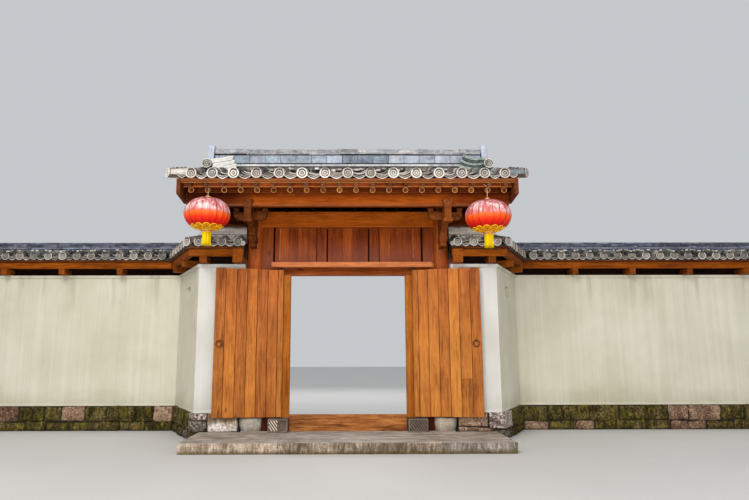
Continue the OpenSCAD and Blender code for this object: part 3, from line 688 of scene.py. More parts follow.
M["beam_x"] = wood("beam_wood", (0.40, 0.082, 0.005), "x", dirt=0.2, figure=1.1)
# brighter wood for the tie beam's eased edges: painted highlight
M["bead_x"] = wood("bead_wood", (0.58, 0.170, 0.030), "x", dirt=0.2, figure=0.8, span=(0.55, 1.4))
M["bead_dull"] = wood("bead_wood_dull", (0.33, 0.120, 0.045), "x", dirt=0.3, figure=1.0, span=(0.4, 1.5))
# purlin wood: darker towards its top and towards both ends, painted shade
M["purlin_x"] = wood("purlin_wood", (0.395, 0.084, 0.005), "x", dirt=0.15, figure=1.0, span=(0.45, 1.5), upper_darkening=(3.875, 3.965, (0.40, 0.32, 0.30)), ends=((0.30, 0.24, 0.34), (0.62, 0.50, 0.62)))
M["carve_y"] = wood("bracket_wood", (0.225, 0.062, 0.012), "y", dirt=0.30, figure=1.2, span=(0.30, 1.8))
# wood at about half the purlin wood's brightness for the stop boards: painted shade
M["stop_x"] = wood("stop_board_wood_painted_shade", (0.180, 0.040, 0.006), "x", dirt=0.15, figure=0.9, span=(0.5, 1.5))
# darker copy of the bracket wood for the left bracket: painted shade
M["carve_left"] = wood("bracket_wood_painted_shade", (0.160, 0.040, 0.005), "y", dirt=0.30, figure=1.2, span=(0.30, 1.8))
M["carve_x"] = wood("bracket_wood_level", (0.185, 0.044, 0.006), "x", dirt=0.30, figure=1.2, span=(0.30, 1.8))
M["carve_z"] = wood("bracket_wood_upright", (0.150, 0.034, 0.005), "z", dirt=0.35, figure=1.3, span=(0.25, 2.0))
# pale wood for the brackets' eased edges: painted highlight
M["carve_edge"] = wood("bracket_edge_painted_highlight", (0.82, 0.400, 0.190), "x", dirt=0.25, figure=0.9, span=(0.72, 1.4))
M["light_x"] = wood("rail_wood", (0.475, 0.150, 0.052), "x", dirt=0.15, figure=1.0, span=(0.50, 1.45), red=0.3)
M["fascia_x"] = wood("fascia_wood", (0.185, 0.055, 0.017), "x", (0.55, 0.8), 0.35, 1.2)
M["closing_x"] = wood("closing_board_wood", (0.40, 0.090, 0.022), "x", (0.55, 0.8), 0.3, 1.2)
M["lath_x"] = wood("eave_lath_wood", (0.46, 0.145, 0.045), "x", (0.55, 0.8), 0.3, 1.0)
M["rafter_y"] = wood("rafter_wood", (0.25, 0.062, 0.012), "y", (0.55, 0.8), 0.3)
M["rafter_end"] = wood("rafter_end_wood", (0.70, 0.30, 0.095), "z", (0.55, 0.8), 0.15, 0.6)
M["rafter_heart"] = wood("rafter_heart_wood", (0.195, 0.064, 0.014), "z", (0.6, 0.85), 0.4, 1.2, span=(0.3, 1.9))
M["fly_end"] = wood("flying_end_wood", (0.100, 0.042, 0.022), "x", (0.6, 0.85), 0.4, 1.2, span=(0.3, 1.9))
# brighter copy of the deck wood for the outermost eave boards: painted light on the soffit
M["eave_deck"] = wood("eave_deck_wood", (0.96, 0.340, 0.085), "x", (0.55, 0.8), 0.05)
M["deck_x"] = wood("deck_wood", (0.52, 0.138, 0.028), "x", (0.55, 0.8), 0.35)
# near-black wood for the inner roof boards and the coping core: painted shade
M["dark_wood"] = wood("old_dark_wood", (0.020, 0.007, 0.003), "x", (0.6, 0.85), 0.3)
# near-black wood for the inner lengths of the round rafters: painted shade
M["dark_y"] = wood("painted_shade_rafter", (0.022, 0.008, 0.004), "y", (0.6, 0.85), 0.3)
M["barge_x"] = wood("bargeboard_wood", (0.145, 0.040, 0.014), "y", (0.55, 0.8), 0.4, 1.2)
M["barge_edge"] = wood("bargeboard_edge_wood", (0.55, 0.35, 0.24), "z", (0.6, 0.85), 0.3, 1.2, span=(0.45, 1.5))
M["cope_x"] = wood("coping_wood", (0.215, 0.050, 0.002), "x", (0.5, 0.75), 0.35, 1.4, span=(0.28, 1.8))
M["cope_y"] = wood("coping_wood_across", (0.21, 0.052, 0.005), "y", (0.5, 0.75), 0.35, 1.4, span=(0.28, 1.8))
M["sill"] = wood("sill_wood", (0.345, 0.130, 0.036), "x", (0.5, 0.75), 0.45, 1.9, span=(0.32, 1.75))
M["slab"] = stone("slab_stone", (0.060, 0.040, 0.024), (0.235, 0.172, 0.122), (0.58, 0.48, 0.39), grit=0.9, tall=0.22, speckle=0.55, bump=0.6, low=0.040, pits=0.6, drip=0.8)
M["slab_pink"] = stone("slab_stone_pink", (0.13, 0.083, 0.056), (0.47, 0.366, 0.280), (0.78, 0.67, 0.56), grit=0.9, tall=0.22, speckle=0.6, bump=0.6, low=0.040, pits=0.5, drip=0.55)
M["slab_grey"] = stone("slab_stone_grey", (0.075, 0.060, 0.050), (0.270, 0.225, 0.195), (0.56, 0.49, 0.44), grit=0.9, tall=0.22, speckle=0.6, bump=0.6, low=0.050, pits=0.6, drip=0.7)
M["slab_top"] = stone("slab_top_stone", (0.15, 0.125, 0.100), (0.325, 0.285, 0.235), (0.58, 0.53, 0.47), speckle=0.35, bump=0.35, streak=0.95, pits=0.35, worn=(0.70, 0.62, 0.52))
M["granite"] = stone("granite", (0.20, 0.170, 0.135), (0.38, 0.335, 0.275), (0.60, 0.56, 0.50), speckle=0.6, bump=0.3, scale=1.6, pits=0.2)
M["drum"] = stone("drum_stone", (0.17, 0.150, 0.120), (0.42, 0.375, 0.315), (0.66, 0.63, 0.58), speckle=0.5, bump=0.3, scale=1.6, pits=0.35, low=0.125, streak=0.4)
M["drum_warm"] = stone("drum_stone_warm", (0.17, 0.140, 0.105), (0.42, 0.345, 0.265), (0.66, 0.59, 0.51), speckle=0.5, bump=0.3, scale=1.6, pits=0.35, low=0.125, streak=0.4)
M["block"] = stone("block_stone", (0.022, 0.014, 0.010), (0.088, 0.060, 0.044), (0.28, 0.215, 0.165), speckle=0.7, bump=0.6, scale=1.4, pits=0.6)
M["chisel"] = stone("chiselled_stone", (0.13, 0.10, 0.08), (0.36, 0.29, 0.235), (0.78, 0.67, 0.57), speckle=0.7, bump=0.5, scale=1.4, pits=0.3)
M["rubble"] = stone("rubble_stone", (0.010, 0.007, 0.003), (0.075, 0.053, 0.020), (0.30, 0.225, 0.095), moss=0.72, speckle=0.5, bump=1.0, pits=0.8, grit=1.3)
M["rubble_brown"] = stone("rubble_stone_brown", (0.050, 0.024, 0.014), (0.215, 0.120, 0.072), (0.56, 0.39, 0.27), moss=0.12, speckle=0.7, bump=1.0, pits=0.8, grit=1.0)
M["rubble_pink"] = stone("rubble_stone_speckled", (0.055, 0.034, 0.028), (0.315, 0.235, 0.205), (0.80, 0.70, 0.63), moss=0.05, speckle=0.8, bump=1.0, pits=1.0, grit=1.8)
M["rubble_pale"] = stone("rubble_stone_pale", (0.17, 0.115, 0.085), (0.56, 0.465, 0.405), (0.93, 0.86, 0.81), moss=0.05, speckle=0.6, bump=1.0, pits=0.6, grit=1.3, cap=(0.26, 0.35, (0.215, 0.125, 0.034)))
M["rubble_dark"] = stone("rubble_stone_dark", (0.018, 0.013, 0.010), (0.085, 0.066, 0.052), (0.40, 0.34, 0.28), moss=0.25, speckle=0.9, bump=1.0, pits=0.9, grit=1.6)
M["mortar"] = stone("mortar", (0.010, 0.008, 0.005), (0.024, 0.019, 0.012), (0.060, 0.048, 0.030), moss=0.4, speckle=0.3, bump=0.6)
M["plaster"] = plaster("limewash", (1.0, 0.995, 0.96))
M["plaster_white"] = plaster("limewash_white", (0.97, 1.0, 1.12), 0.07)
M["tile"] = tile_mat("roof_tile", (0.020, 0.020, 0.020), (0.125, 0.122, 0.118), (0.46, 0.44, 0.42), 0.42, 0.30, soot=0.6, tint=1.0)
M["tile_rim"] = tile_mat("tile_rim", (0.20, 0.180, 0.155), (0.53, 0.485, 0.435), (0.88, 0.83, 0.77), 0.25, 0.06, soot=0.22, tint=0.5)
M["rim_grey"] = tile_mat("tile_rim_grey", (0.16, 0.155, 0.12), (0.38, 0.37, 0.31), (0.66, 0.64, 0.56), 0.25, 0.15, soot=0.3, tint=0.3)
M["tile_face"] = tile_mat("tile_face", (0.085, 0.080, 0.072), (0.34, 0.32, 0.29), (0.72, 0.69, 0.64), 0.20, 0.10, soot=0.3, tint=0.6)
M["tile_dark"] = tile_mat("tile_groove", (0.010, 0.009, 0.008), (0.030, 0.027, 0.024), (0.070, 0.064, 0.056), 0.04, 0.2)
M["ridge"] = tile_mat("ridge_tile", (0.070, 0.085, 0.120), (0.245, 0.290, 0.360), (0.50, 0.555, 0.66), 0.16, 0.03, soot=0.28, tint=0.3)
M["ridge_end"] = tile_mat("ridge_end_tile", (0.24, 0.25, 0.32), (0.46, 0.49, 0.59), (0.74, 0.77, 0.86), 0.12, 0.02, soot=0.2, tint=0.1)
M["ridge_pale"] = tile_mat("ridge_tile_pale", (0.24, 0.25, 0.265), (0.43, 0.445, 0.465), (0.70, 0.71, 0.72), 0.22, 0.03, soot=0.3)
M["ridge_cap"] = tile_mat("ridge_cap_tile", (0.105, 0.110, 0.120), (0.285, 0.300, 0.330), (0.56, 0.57, 0.60), 0.45, 0.06, soot=0.45, tint=0.4)
M["cope_band"] = tile_mat("coping_band_tile", (0.30, 0.28, 0.235), (0.66, 0.625, 0.54), (0.92, 0.89, 0.82), 0.30, 0.06, soot=0.22, tint=0.4)
M["cope_slate"] = tile_mat("coping_slate_tile", (0.018, 0.021, 0.034), (0.080, 0.092, 0.135), (0.26, 0.29, 0.38), 0.10, 0.12, soot=0.4, tint=0.3)
M["cream"] = tile_mat("bleached_tile", (0.58, 0.53, 0.46), (0.86, 0.82, 0.76), (0.95, 0.93, 0.90), 0.1, 0.02, soot=0.12)
M["verge_cream"] = tile_mat("bleached_verge_tile", (0.30, 0.27, 0.23), (0.56, 0.52, 0.46), (0.80, 0.77, 0.71), 0.3, 0.05, soot=0.3)
M["slate"] = tile_mat("green_tile", (0.024, 0.036, 0.033), (0.125, 0.165, 0.150), (0.42, 0.49, 0.46), 0.12, 0.2, soot=0.3)
M["bluish"] = tile_mat("blue_tile", (0.04, 0.048, 0.060), (0.13, 0.155, 0.185), (0.36, 0.40, 0.44), 0.15, 0.15, soot=0.3)
M["bedding"] = tile_mat("brown_bedding", (0.025, 0.014, 0.008), (0.075, 0.042, 0.024), (0.17, 0.105, 0.065), 0.06, 0.2)
M["twine"] = yarn("lantern_twine", (0.34, 0.24, 0.15), (0.72, 0.58, 0.42))
M["iron"] = metal("dark_iron", (0.030, 0.020, 0.015), (0.10, 0.042, 0.020))
M["satin"] = lantern_cloth()
M["rib"] = gold_mat("lantern_rib", (0.085, 0.006, 0.006), (0.20, 0.02, 0.016))
M["gold"] = gold_mat("lantern_gold", (1.0, 0.34, 0.0), (1.0, 0.68, 0.010))
M["gold_deep"] = gold_mat("lantern_gold_ground", (0.62, 0.060, 0.004), (0.90, 0.30, 0.010))
M["collar"] = gold_mat("lantern_collar", (0.70, 0.25, 0.05), (0.92, 0.58, 0.22))
M["yarn"] = yarn("tassel_yarn", (0.50, 0.24, 0.0), (0.92, 0.68, 0.0))


def paint(node, mat):
    """Gives a CAD node that stays a better material."""
    me = NODES[node].data
    me.materials.clear()
    me.materials.append(mat)
    a = me.attributes.get("tone") or me.attributes.new("tone", "FLOAT", "POINT")
    a.data.foreach_set("value", [0.5] * len(me.vertices))


def softened(node, mats, name=None, width=0.004, segments=2, pick=None, tones=None, edge=-1):
    """A copy of a CAD node with its sharp edges eased, standing for the node. pick(face centre, normal) gives a material index;
    tones(centre) gives a tone for each loose part."""
    src = NODES[node]
    me = src.data.copy()
    me.name = name or node
    bm = bmesh.new()
    bm.from_mesh(me)
    bmesh.ops.remove_doubles(bm, verts=bm.verts, dist=2e-5)
    bmesh.ops.dissolve_limit(bm, angle_limit=math.radians(0.6), verts=bm.verts, edges=bm.edges, delimit={"MATERIAL"})
    bmesh.ops.recalc_face_normals(bm, faces=bm.faces)
    tone = {}
    if tones:
        seen = set()
        for v in bm.verts:
            if v.index in seen:
                continue
            stack, part = [v], []
            seen.add(v.index)
            while stack:
                q = stack.pop()
                part.append(q)
                for e in q.link_edges:
                    w = e.other_vert(q)
                    if w.index not in seen:
                        seen.add(w.index)
                        stack.append(w)
            c = sum((q.co for q in part), Vector()) / len(part)
            t = tones(c)
            for q in part:
                tone[q.index] = t
    for f in bm.faces:
        f.smooth = False
        f.material_index = pick(f.calc_center_median(), f.normal) if pick else 0
    bm.to_mesh(me)
    values = [tone.get(k, 0.5) for k in range(len(bm.verts))]
    bm.free()
    me.materials.clear()
    for mt in mats:
        me.materials.append(mt)
    for at in list(me.attributes):
        if at.name == "tone":
            me.attributes.remove(at)
    at = me.attributes.new("tone", "FLOAT", "POINT")
    at.data.foreach_set("value", values)
    o = bpy.data.objects.new(me.name + "_shape", me)
    bpy.context.scene.collection.objects.link(o)
    md = o.modifiers.new("bevel", "BEVEL")
    md.width, md.segments, md.limit_method = width, segments, "ANGLE"
    md.angle_limit = math.radians(32)
    md.material = edge
    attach(o, src["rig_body"])
    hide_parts(node)
    return o


# ----------------------------------------------------------------- the tiles

DISC = [(0.0, 0.012), (0.013, 0.011), (0.017, 0.005), (0.024, 0.005), (0.028, 0.010), (0.044, 0.010), (0.048, 0.004), (0.058, 0.003), (0.0615, 0.014), (0.0770, 0.015), (0.080, 0.011), (0.080, -0.030)]
DISC_M = [1, 1, 3, 3, 1, 3, 3, 1, 1, 1, 0]
DISC_T = [-0.1, -0.1, -9, -9, 0.0, -9, -9, 0.1, 0.25, 0.1, 0.0]


def disc(B, c, axis, r=0.080, tone=0.5, segs=20, rim=1):
    """Round end tile: pale rim, grey groove, pale heart with a fine ring. Material 0 tile, 1 rim, 3 face."""
    k = r / 0.080
    tones = [0.02 if d < -1 else min(1.0, max(0.0, tone + d)) for d in DISC_T]
    revolve(B, [(a * k, h) for a, h in DISC][::-1], c, axis, segs, tones[::-1], [rim if q == 1 else q for q in DISC_M][::-1])


def half_pipe(B, P, S, U, W, length, r0, r1, tone, mat=0, mat_end=2, segs=8, thick=0.013, span_=(-0.12, 1.12)):
    """One cover tile: P is its axis point at the lower end, S points up the slope, U across, W off the slope."""
    verts, angles = [], [math.pi * (span_[0] + (span_[1] - span_[0]) * k / segs) for k in range(segs + 1)]
    for q, r in ((0.0, r0), (length, r1)):
        for a in angles:
            verts.append(P + S * q + U * (math.cos(a) * r) + W * (math.sin(a) * r))
    n = segs + 1
    B.add(verts, [(k, k + 1, n + k + 1, n + k) for k in range(segs)], tone, mat, True)
    verts = [P + U * (math.cos(a) * r) + W * (math.sin(a) * r) for r in (r0, r0 - thick) for a in angles]
    B.add(verts, [(k + 1, k, n + k, n + k + 1) for k in range(segs)], tone, mat_end, False)


def tile_field(B, P, slope, d0, d1, rolls, pans, z0, rng, r=0.075, sag=0.040, roll_len=0.25, pan_len=0.19, drip=True, disc_r=0.0865, jump=0.010, lean=0.007, dim=0.0):
    """Tiles on one slope. P(u, d, z) places a point u along the eave and d out from the ridge line. z0(d) is the cover tiles' axis.
    rolls are their u; pans are (u0, u1) of the channels between them."""
    U = (P(1, 0, 0) - P(0, 0, 0)).normalized()
    N = (P(0, 1, 0) - P(0, 0, 0)).normalized()
    al = math.atan(slope)
    S = (Z * math.sin(al) - N * math.cos(al))
    W = (Z * math.cos(al) + N * math.sin(al))
    L = (d1 - d0) / math.cos(al)
    count = max(1, round(L / roll_len))
    step = L / count
    for u in rolls:
        base = rng.uniform(0.2, 0.75) - dim
        for k in range(count):
            low = P(u + rng.uniform(-0.004, 0.004), d1, z0(d1)) + S * (step * k) + W * rng.uniform(-0.003, 0.005)
            half_pipe(B, low, S, U, W, step * 1.04, r * rng.uniform(0.99, 1.04), r * 0.92, base + rng.uniform(-0.28, 0.28), 0 if rng.random() < 0.75 else 3)
        disc(B, P(u, d1, z0(d1)) + N * 0.003, N + Z * 0.04, disc_r * rng.uniform(0.985, 1.015), rng.uniform(0.2, 0.75) - dim)
    count = max(1, round(L / pan_len))
    step = L / count
    segs = 8
    for (a, b) in pans:
        narrow = min(1.0, (b - a) / 0.2)
        for k in range(count):
            t = rng.uniform(0.0, 1.0) - dim
            rise, tilt = rng.uniform(-0.004, jump), rng.uniform(-lean, lean)
            shift = rng.uniform(-0.006, 0.006)
            verts = []
            for q, lift in ((0.0, 0.026 if k else 0.008), (step * 1.04, 0.001)):
                for j in range(segs + 1):
                    x = -1 + 2 * j / segs
                    h = -0.012 - sag * narrow * (1 - x * x) + lift
                    if q == 0.0 and k:
                        h += rise + tilt * x
                    verts.append(P(a + (b - a) * j / segs + shift * (1 - x * x), d1, z0(d1)) + S * (step * k + q) + W * h)
            n = segs + 1
            B.add(verts, [(j, j + 1, n + j + 1, n + j) for j in range(segs)], t, 0, True)
            lip = verts[:n] + [v - W * 0.017 for v in verts[:n]]
            B.add(lip, [(j + 1, j, n + j, n + j + 1) for j in range(segs)], rng.uniform(0.1, 1.0) - dim, 1 if rng.random() < 0.6 else 3, False)
            # near-black strip under each pan's lip: painted shadow
            under = [v - W * 0.017 for v in verts[:n]] + [v - W * 0.044 + S * 0.012 for v in verts[:n]]
            B.add(under, [(j + 1, j, n + j, n + j + 1) for j in range(segs)], 0.2, 2, False)
        if drip:
            # tongue that hangs from the eave pan: two raised lips with a dark groove between them
            t = rng.uniform(0.25, 0.8) - dim
            segs2 = 12
            rows = []
            prof = [(0.0, 0.008), (0.20, 0.012), (0.25, 0.000), (0.60, 0.000), (0.66, 0.012), (1.0, 0.014)]
            for depth, out in prof:
                row = []
                for j in range(segs2 + 1):
                    x = -1 + 2 * j / segs2
                    top = -0.008 - sag * narrow * (1 - x * x)
                    tall = 0.020 + 0.030 * narrow * (1 - abs(x)) ** 0.85
                    row.append(P(a + (b - a) * j / segs2, d1 + out, z0(d1) + top - depth * tall))
                rows.append(row)
            n = segs2 + 1
            for r_, mt in enumerate((1, 1, 2, 2, 1)):
                B.add(rows[r_] + rows[r_ + 1], [(j + 1, j, n + j, n + j + 1) for j in range(segs2)], min(1.0, t + rng.uniform(-0.12, 0.12) + (0.30 if r_ == 4 else 0.0)), mt, True)
            back = [v - N * 0.018 for v in rows[-1]]
            B.add(rows[-1] + back, [(j + 1, j, n + j, n + j + 1) for j in range(segs2)], t, 2, False)


TILES = [M["tile"], M["tile_rim"], M["tile_dark"], M["tile_face"]]


def gate_tiles():
    B = Build()
    rng = random.Random(11)
    pitch = 0.3561
    rolls = [-2.112] + [pitch * i for i in range(-5, 7)] + [-2.44, 2.452]
    rolls.sort()
    edges = []
    for a, b in zip(rolls, rolls[1:]):
        edges.append((a + 0.060, b - 0.060))
    edges = [(-2.655, rolls[0] - 0.060)] + edges + [(rolls[-1] + 0.060, 2.655)]
    for sgn in (-1, 1):
        # the rear slope is the same row turned round the gate's middle line, so that covers meet at the ridge
        def P(u, d, z, s=sgn):
            return Vector((u, s * d, z))
        tile_field(B, P, SLOPE, 0.148, 1.242, rolls, edges, lambda d: zr(d) + 0.283, rng, pan_len=0.26, jump=0.018, lean=0.014)
    # bed under the tiles, closed at the eaves and gables
    bed = [(-0.470, zr(0.470) + O_BOARD), (-0.470, zr(0.470) + O_DECK), (-1.214, zr(1.214) + O_DECK), (-1.214, 4.096), (-1.236, 4.104), (-1.236, zr(1.236) + 0.206), (-0.150, zr(0.150) + 0.206), (-0.150, 4.56), (0.150, 4.56), (0.150, zr(0.150) + 0.206), (1.236, zr(1.236) + 0.206), (1.236, 4.104), (1.214, 4.096), (1.214, zr(1.214) + O_DECK), (0.470, zr(0.470) + O_DECK), (0.470, zr(0.470) + O_BOARD), (0.0, zr(0) + O_BOARD)]
    prism(B, bed[::-1], -2.600, 2.600, lambda a, b, w: Vector((w, a, b)), 0.4, 2)
    # lumps of pale lime mortar where the slopes meet the ridge
    for sgn in (-1, 1):
        for k in range(46):
            x = -2.25 + 4.5 * (k + rng.uniform(0.1, 0.9)) / 46
            w = rng.uniform(0.02, 0.05)
            z = zr(0.2) + 0.283 + rng.uniform(0.02, 0.06)
            rough_block(B, (x - w, sgn * 0.185 - 0.022, z - 0.022), (x + w, sgn * 0.185 + 0.022, z + 0.014), (2, 1, 1), 0.012, 0.006, 24.0, rng.uniform(0.2, 1.0), 1 if rng.random() < 0.6 else 3, same, k + sgn)
    return B.make("roof_tile_field", TILES, replaces=["roof_tiles"])


def verge():
    B = Build()
    rng = random.Random(5)
    for side in (-1, 1):
        for sgn in (-1, 1):
            ds = [1.168, 0.945, 0.722, 0.499, 0.276]
            front = sgn < 0
            mat = (4 if side > 0 else 5) if front else 0
            for k, d in enumerate(ds):
                z = zr(d) + 0.290
                t = rng.uniform(0.3, 0.6)
                P0 = Vector((side * 2.812, sgn * d, z))
                S = Vector((-side * math.cos(0.05), 0, -0.05))
                N_ = Vector((0, sgn, 0))
                W = Z * math.cos(ALPHA) + N_ * math.sin(ALPHA)
                U = S.cross(W) * 1.0
                for q in range(2):
                    half_pipe(B, P0 + S * (0.145 * q), S, U, W, 0.150, 0.060, 0.056, t + rng.uniform(-0.15, 0.15), mat, segs=10)
                turn = math.radians(38 if k == 0 else 8)
                axis = Vector((side * math.cos(turn), sgn * math.sin(turn), 0.03))
                disc(B, P0 + axis * 0.004, axis, 0.077, rng.uniform(0.3, 0.6))
                # channel tile between two covers
                if k < len(ds) - 1:
                    d2 = ds[k + 1]
                    a, b = d - 0.046, d2 + 0.046
                    verts = []
                    n = 6
                    for x in (2.600, 2.800):
                        for j in range(n + 1):
                            q = -1 + 2 * j / n
                            dd = a + (b - a) * j / n
                            verts.append(Vector((side * x, sgn * dd, zr(dd) + 0.262 - 0.026 * (1 - q * q))))
                    B.add(verts, [(j, j + 1, n + 2 + j, n + 1 + j) for j in range(n)], t, 0, True)
                    B.add([v - Z * 0.012 for v in verts], [(n + 1 + j, n + 2 + j, j + 1, j) for j in range(n)], t, 2, True)
                    lip = verts[n + 1:] + [v - Z * 0.030 for v in verts[n + 1:]]
                    B.add(lip, [(j, j + 1, n + 2 + j, n + 1 + j) for j in range(n)], t, 1, False)
        # ridge cover that closes the gable's peak
        P0 = Vector((side * 2.800, 0, zr(0) + 0.256))
        S = Vector((-side, 0, 0))
        half_pipe(B, P0, S, S.cross(Z), Z, 0.19, 0.085, 0.082, 0.5, 0, segs=12)
        disc(B, P0 - Vector((side * 0.006, 0, 0)), (side, 0, 0.02), 0.088, 0.5)
        # bedding under the verge covers
        x0, x1 = sorted((side * 2.600, side * 2.770))
        prism(B, [(-1.236, zr(1.236) + 0.206), (0, zr(0) + 0.206), (1.236, zr(1.236) + 0.206), (1.236, zr(1.236) + 0.250), (0, zr(0) + 0.250), (-1.236, zr(1.236) + 0.250)], x0, x1, lambda a, b, w: Vector((w, a, b)), 0.5, 6)
    return B.make("verge_cover_tiles", TILES + [M["bluish"], M["verge_cream"], M["bedding"]], replaces=["verge_tiles"])


def courses(B, y, z0, z1, x0, x1, length, gap, rng, mat, base=0.5, spread=0.2, wob=0.0, c=0.004, seams=None, tones=None):
    """A course of blocks along X, all the way through the ridge, with open joints."""
    if seams is None:
        n = max(1, round((x1 - x0) / length))
        seams = [x0 + (x1 - x0) * k / n for k in range(n + 1)]
    for k, (a_, b_) in enumerate(zip(seams, seams[1:])):
        dz = rng.uniform(-wob, wob)
        dy = rng.uniform(-0.002, 0.002)
        pts = [(-y + dy, z0), (y + dy, z0), (y + dy, z1 + dz), (-y + dy, z1 + dz)]
        t = base + rng.uniform(-spread, spread)
        if tones:
            t = tones(0.5 * (a_ + b_), t)
        prism(B, pts, a_ + gap / 2, b_ - gap / 2, lambda a, b, w: Vector((w, a, b)), t, mat, c)


def ridge():
    B = Build()
    rng = random.Random(23)
    X = 2.336
    wave_ = lambda x: 0.0045 * math.sin(2.3 * x + 0.6) + 0.0035 * math.sin(5.9 * x + 1.0)
    # dark core seen in the joints and grooves
    prism(B, [(-0.126, 4.560), (0.126, 4.560), (0.126, 4.682), (0.088, 4.700), (0.083, 4.884), (0.060, 4.936), (0.030, 4.956), (-0.030, 4.956), (-0.060, 4.936), (-0.083, 4.884), (-0.088, 4.700), (-0.126, 4.682)], -2.3515, 2.3515, lambda a, b, w: Vector((w, a, b)), 0.3, 2)
    courses(B, 0.138, 4.560, 4.588, -X, X, 0.25, 0.008, rng, 0, 0.45, 0.3)
    courses(B, 0.132, 4.597, 4.612, -X, X, 0.27, 0.008, rng, 3, 0.30, 0.3)
    courses(B, 0.150, 4.631, 4.667, -X, X, 0.45, 0.003, rng, 5, 0.72, 0.22, 0.001)
    seams = [-X] + [-0.10 + 0.2710 * k for k in range(-8, 9)] + [X]

    def tones(x, t):
        if -0.12 < x < 0.46:
            return 0.26 + 0.12 * rng.random()
        if 0.46 < x < 0.75:
            return 0.44
        if -0.37 < x < -0.1:
            return 0.86
        if x > 0.75:
            return t + 0.14
        return t
    courses(B, 0.100, 4.704, 4.842, -X, X, 0.277, 0.005, rng, 4, 0.60, 0.10, 0.001, seams=seams, tones=tones)
    # thin pale tiles over the panel, laid a little unevenly
    n = 17
    for k in range(n):
        a_, b_ = -X + 2 * X * k / n, -X + 2 * X * (k + 1) / n
        dz = wave_(0.5 * (a_ + b_)) + rng.uniform(-0.002, 0.002)
        y = 0.107 + rng.uniform(-0.003, 0.003)
        prism(B, [(-y, 4.866 + dz), (y, 4.866 + dz), (y, 4.888 + dz), (-y, 4.888 + dz)], a_ + 0.001, b_ - 0.001, lambda a, b, w: Vector((w, a, b)), rng.uniform(0.3, 0.7), 6, 0.004)
    # cap: overlapping half-round tiles that ripple a little
    n = 13
    step = 2 * X / n
    for k in range(n):
        x = -X + step * k
        t = rng.uniform(0.2, 0.8)
        verts, segs = [], 12
        zc = 4.893
        profile = ((0.0, 0.094, 0.003), (0.06, 0.095, 0.003), (0.3, 0.092, 0.000), (0.7, 0.089, 0.000), (1.02, 0.086, -0.004))
        for q, r, dz in profile:
            w_ = wave_(x + step * q)
            for j in range(segs + 1):
                a = math.pi * j / segs
                verts.append(Vector((x + step * q, math.cos(a) * r, zc + w_ + dz + math.sin(a) * r)))
        m_ = segs + 1
        B.add(verts, [(b_ * m_ + j, (b_ + 1) * m_ + j, (b_ + 1) * m_ + j + 1, b_ * m_ + j + 1) for b_ in range(len(profile) - 1) for j in range(segs)], t, 6, True)
        ring = [Vector((x, math.cos(math.pi * j / segs) * r, zc + wave_(x) + 0.003 + math.sin(math.pi * j / segs) * r)) for r in (0.094, 0.078) for j in range(segs + 1)]
        B.add(ring, [(j, j + 1, m_ + j + 1, m_ + j) for j in range(segs)], t, 2, False)
    for x, s_ in ((-X, -1), (X, 1)):
        fan = [Vector((x, math.cos(math.pi * j / 12) * 0.086, 4.889 + wave_(x) + math.sin(math.pi * j / 12) * 0.086)) for j in range(13)]
        B.add(fan, [tuple(range(13)) if s_ > 0 else tuple(range(13))[::-1]], 0.3, 2, False)
    return B.make("main_ridge_courses", TILES + [M["ridge"], M["ridge_pale"], M["ridge_cap"], M["cream"]], replaces=["main_ridge"])


def ridge_ends():
    B = Build()
    pts = [(-0.150, 4.560), (0.150, 4.560), (0.150, 4.706), (0.134, 4.724), (0.130, 4.800), (0.128, 4.900), (0.120, 4.965), (0.098, 5.018), (0.060, 5.048), (0.0, 5.058), (-0.060, 5.048), (-0.098, 5.018), (-0.120, 4.965), (-0.128, 4.900), (-0.130, 4.800), (-0.134, 4.724), (-0.150, 4.706)]
    for side in (-1, 1):
        x0, x1 = sorted((side * 2.352, side * 2.455))
        P = lambda a, b, w: Vector((w, a, b))
        prism(B, pts, x0, x1, P, 0.55, 4, 0.006)
        # raised border and a plain boss on the outer face
        out = side * 2.455
        rim = inset(pts, 0.020)
        rim2 = inset(pts, 0.034)
        n = len(pts)
        verts = [Vector((out, a, b)) for a, b in rim] + [Vector((out + side * 0.006, a, b)) for a, b in inset(pts, 0.024)] + [Vector((out + side * 0.006, a, b)) for a, b in inset(pts, 0.030)] + [Vector((out, a, b)) for a, b in rim2]
        faces = [(r * n + k, r * n + (k + 1) % n, (r + 1) * n + (k + 1) % n, (r + 1) * n + k) for r in range(3) for k in range(n)]
        B.add(verts, faces, 0.6, 1, False, flip=side < 0)
        revolve(B, [(0.046, 0.0), (0.042, 0.010), (0.020, 0.012), (0.012, 0.018), (0.0, 0.019)], (out, 0, 4.845), (side, 0, 0), 20, 0.6, 1)
    return B.make("ridge_end_caps", TILES + [M["ridge_end"]], replaces=["ridge_end_tiles"])


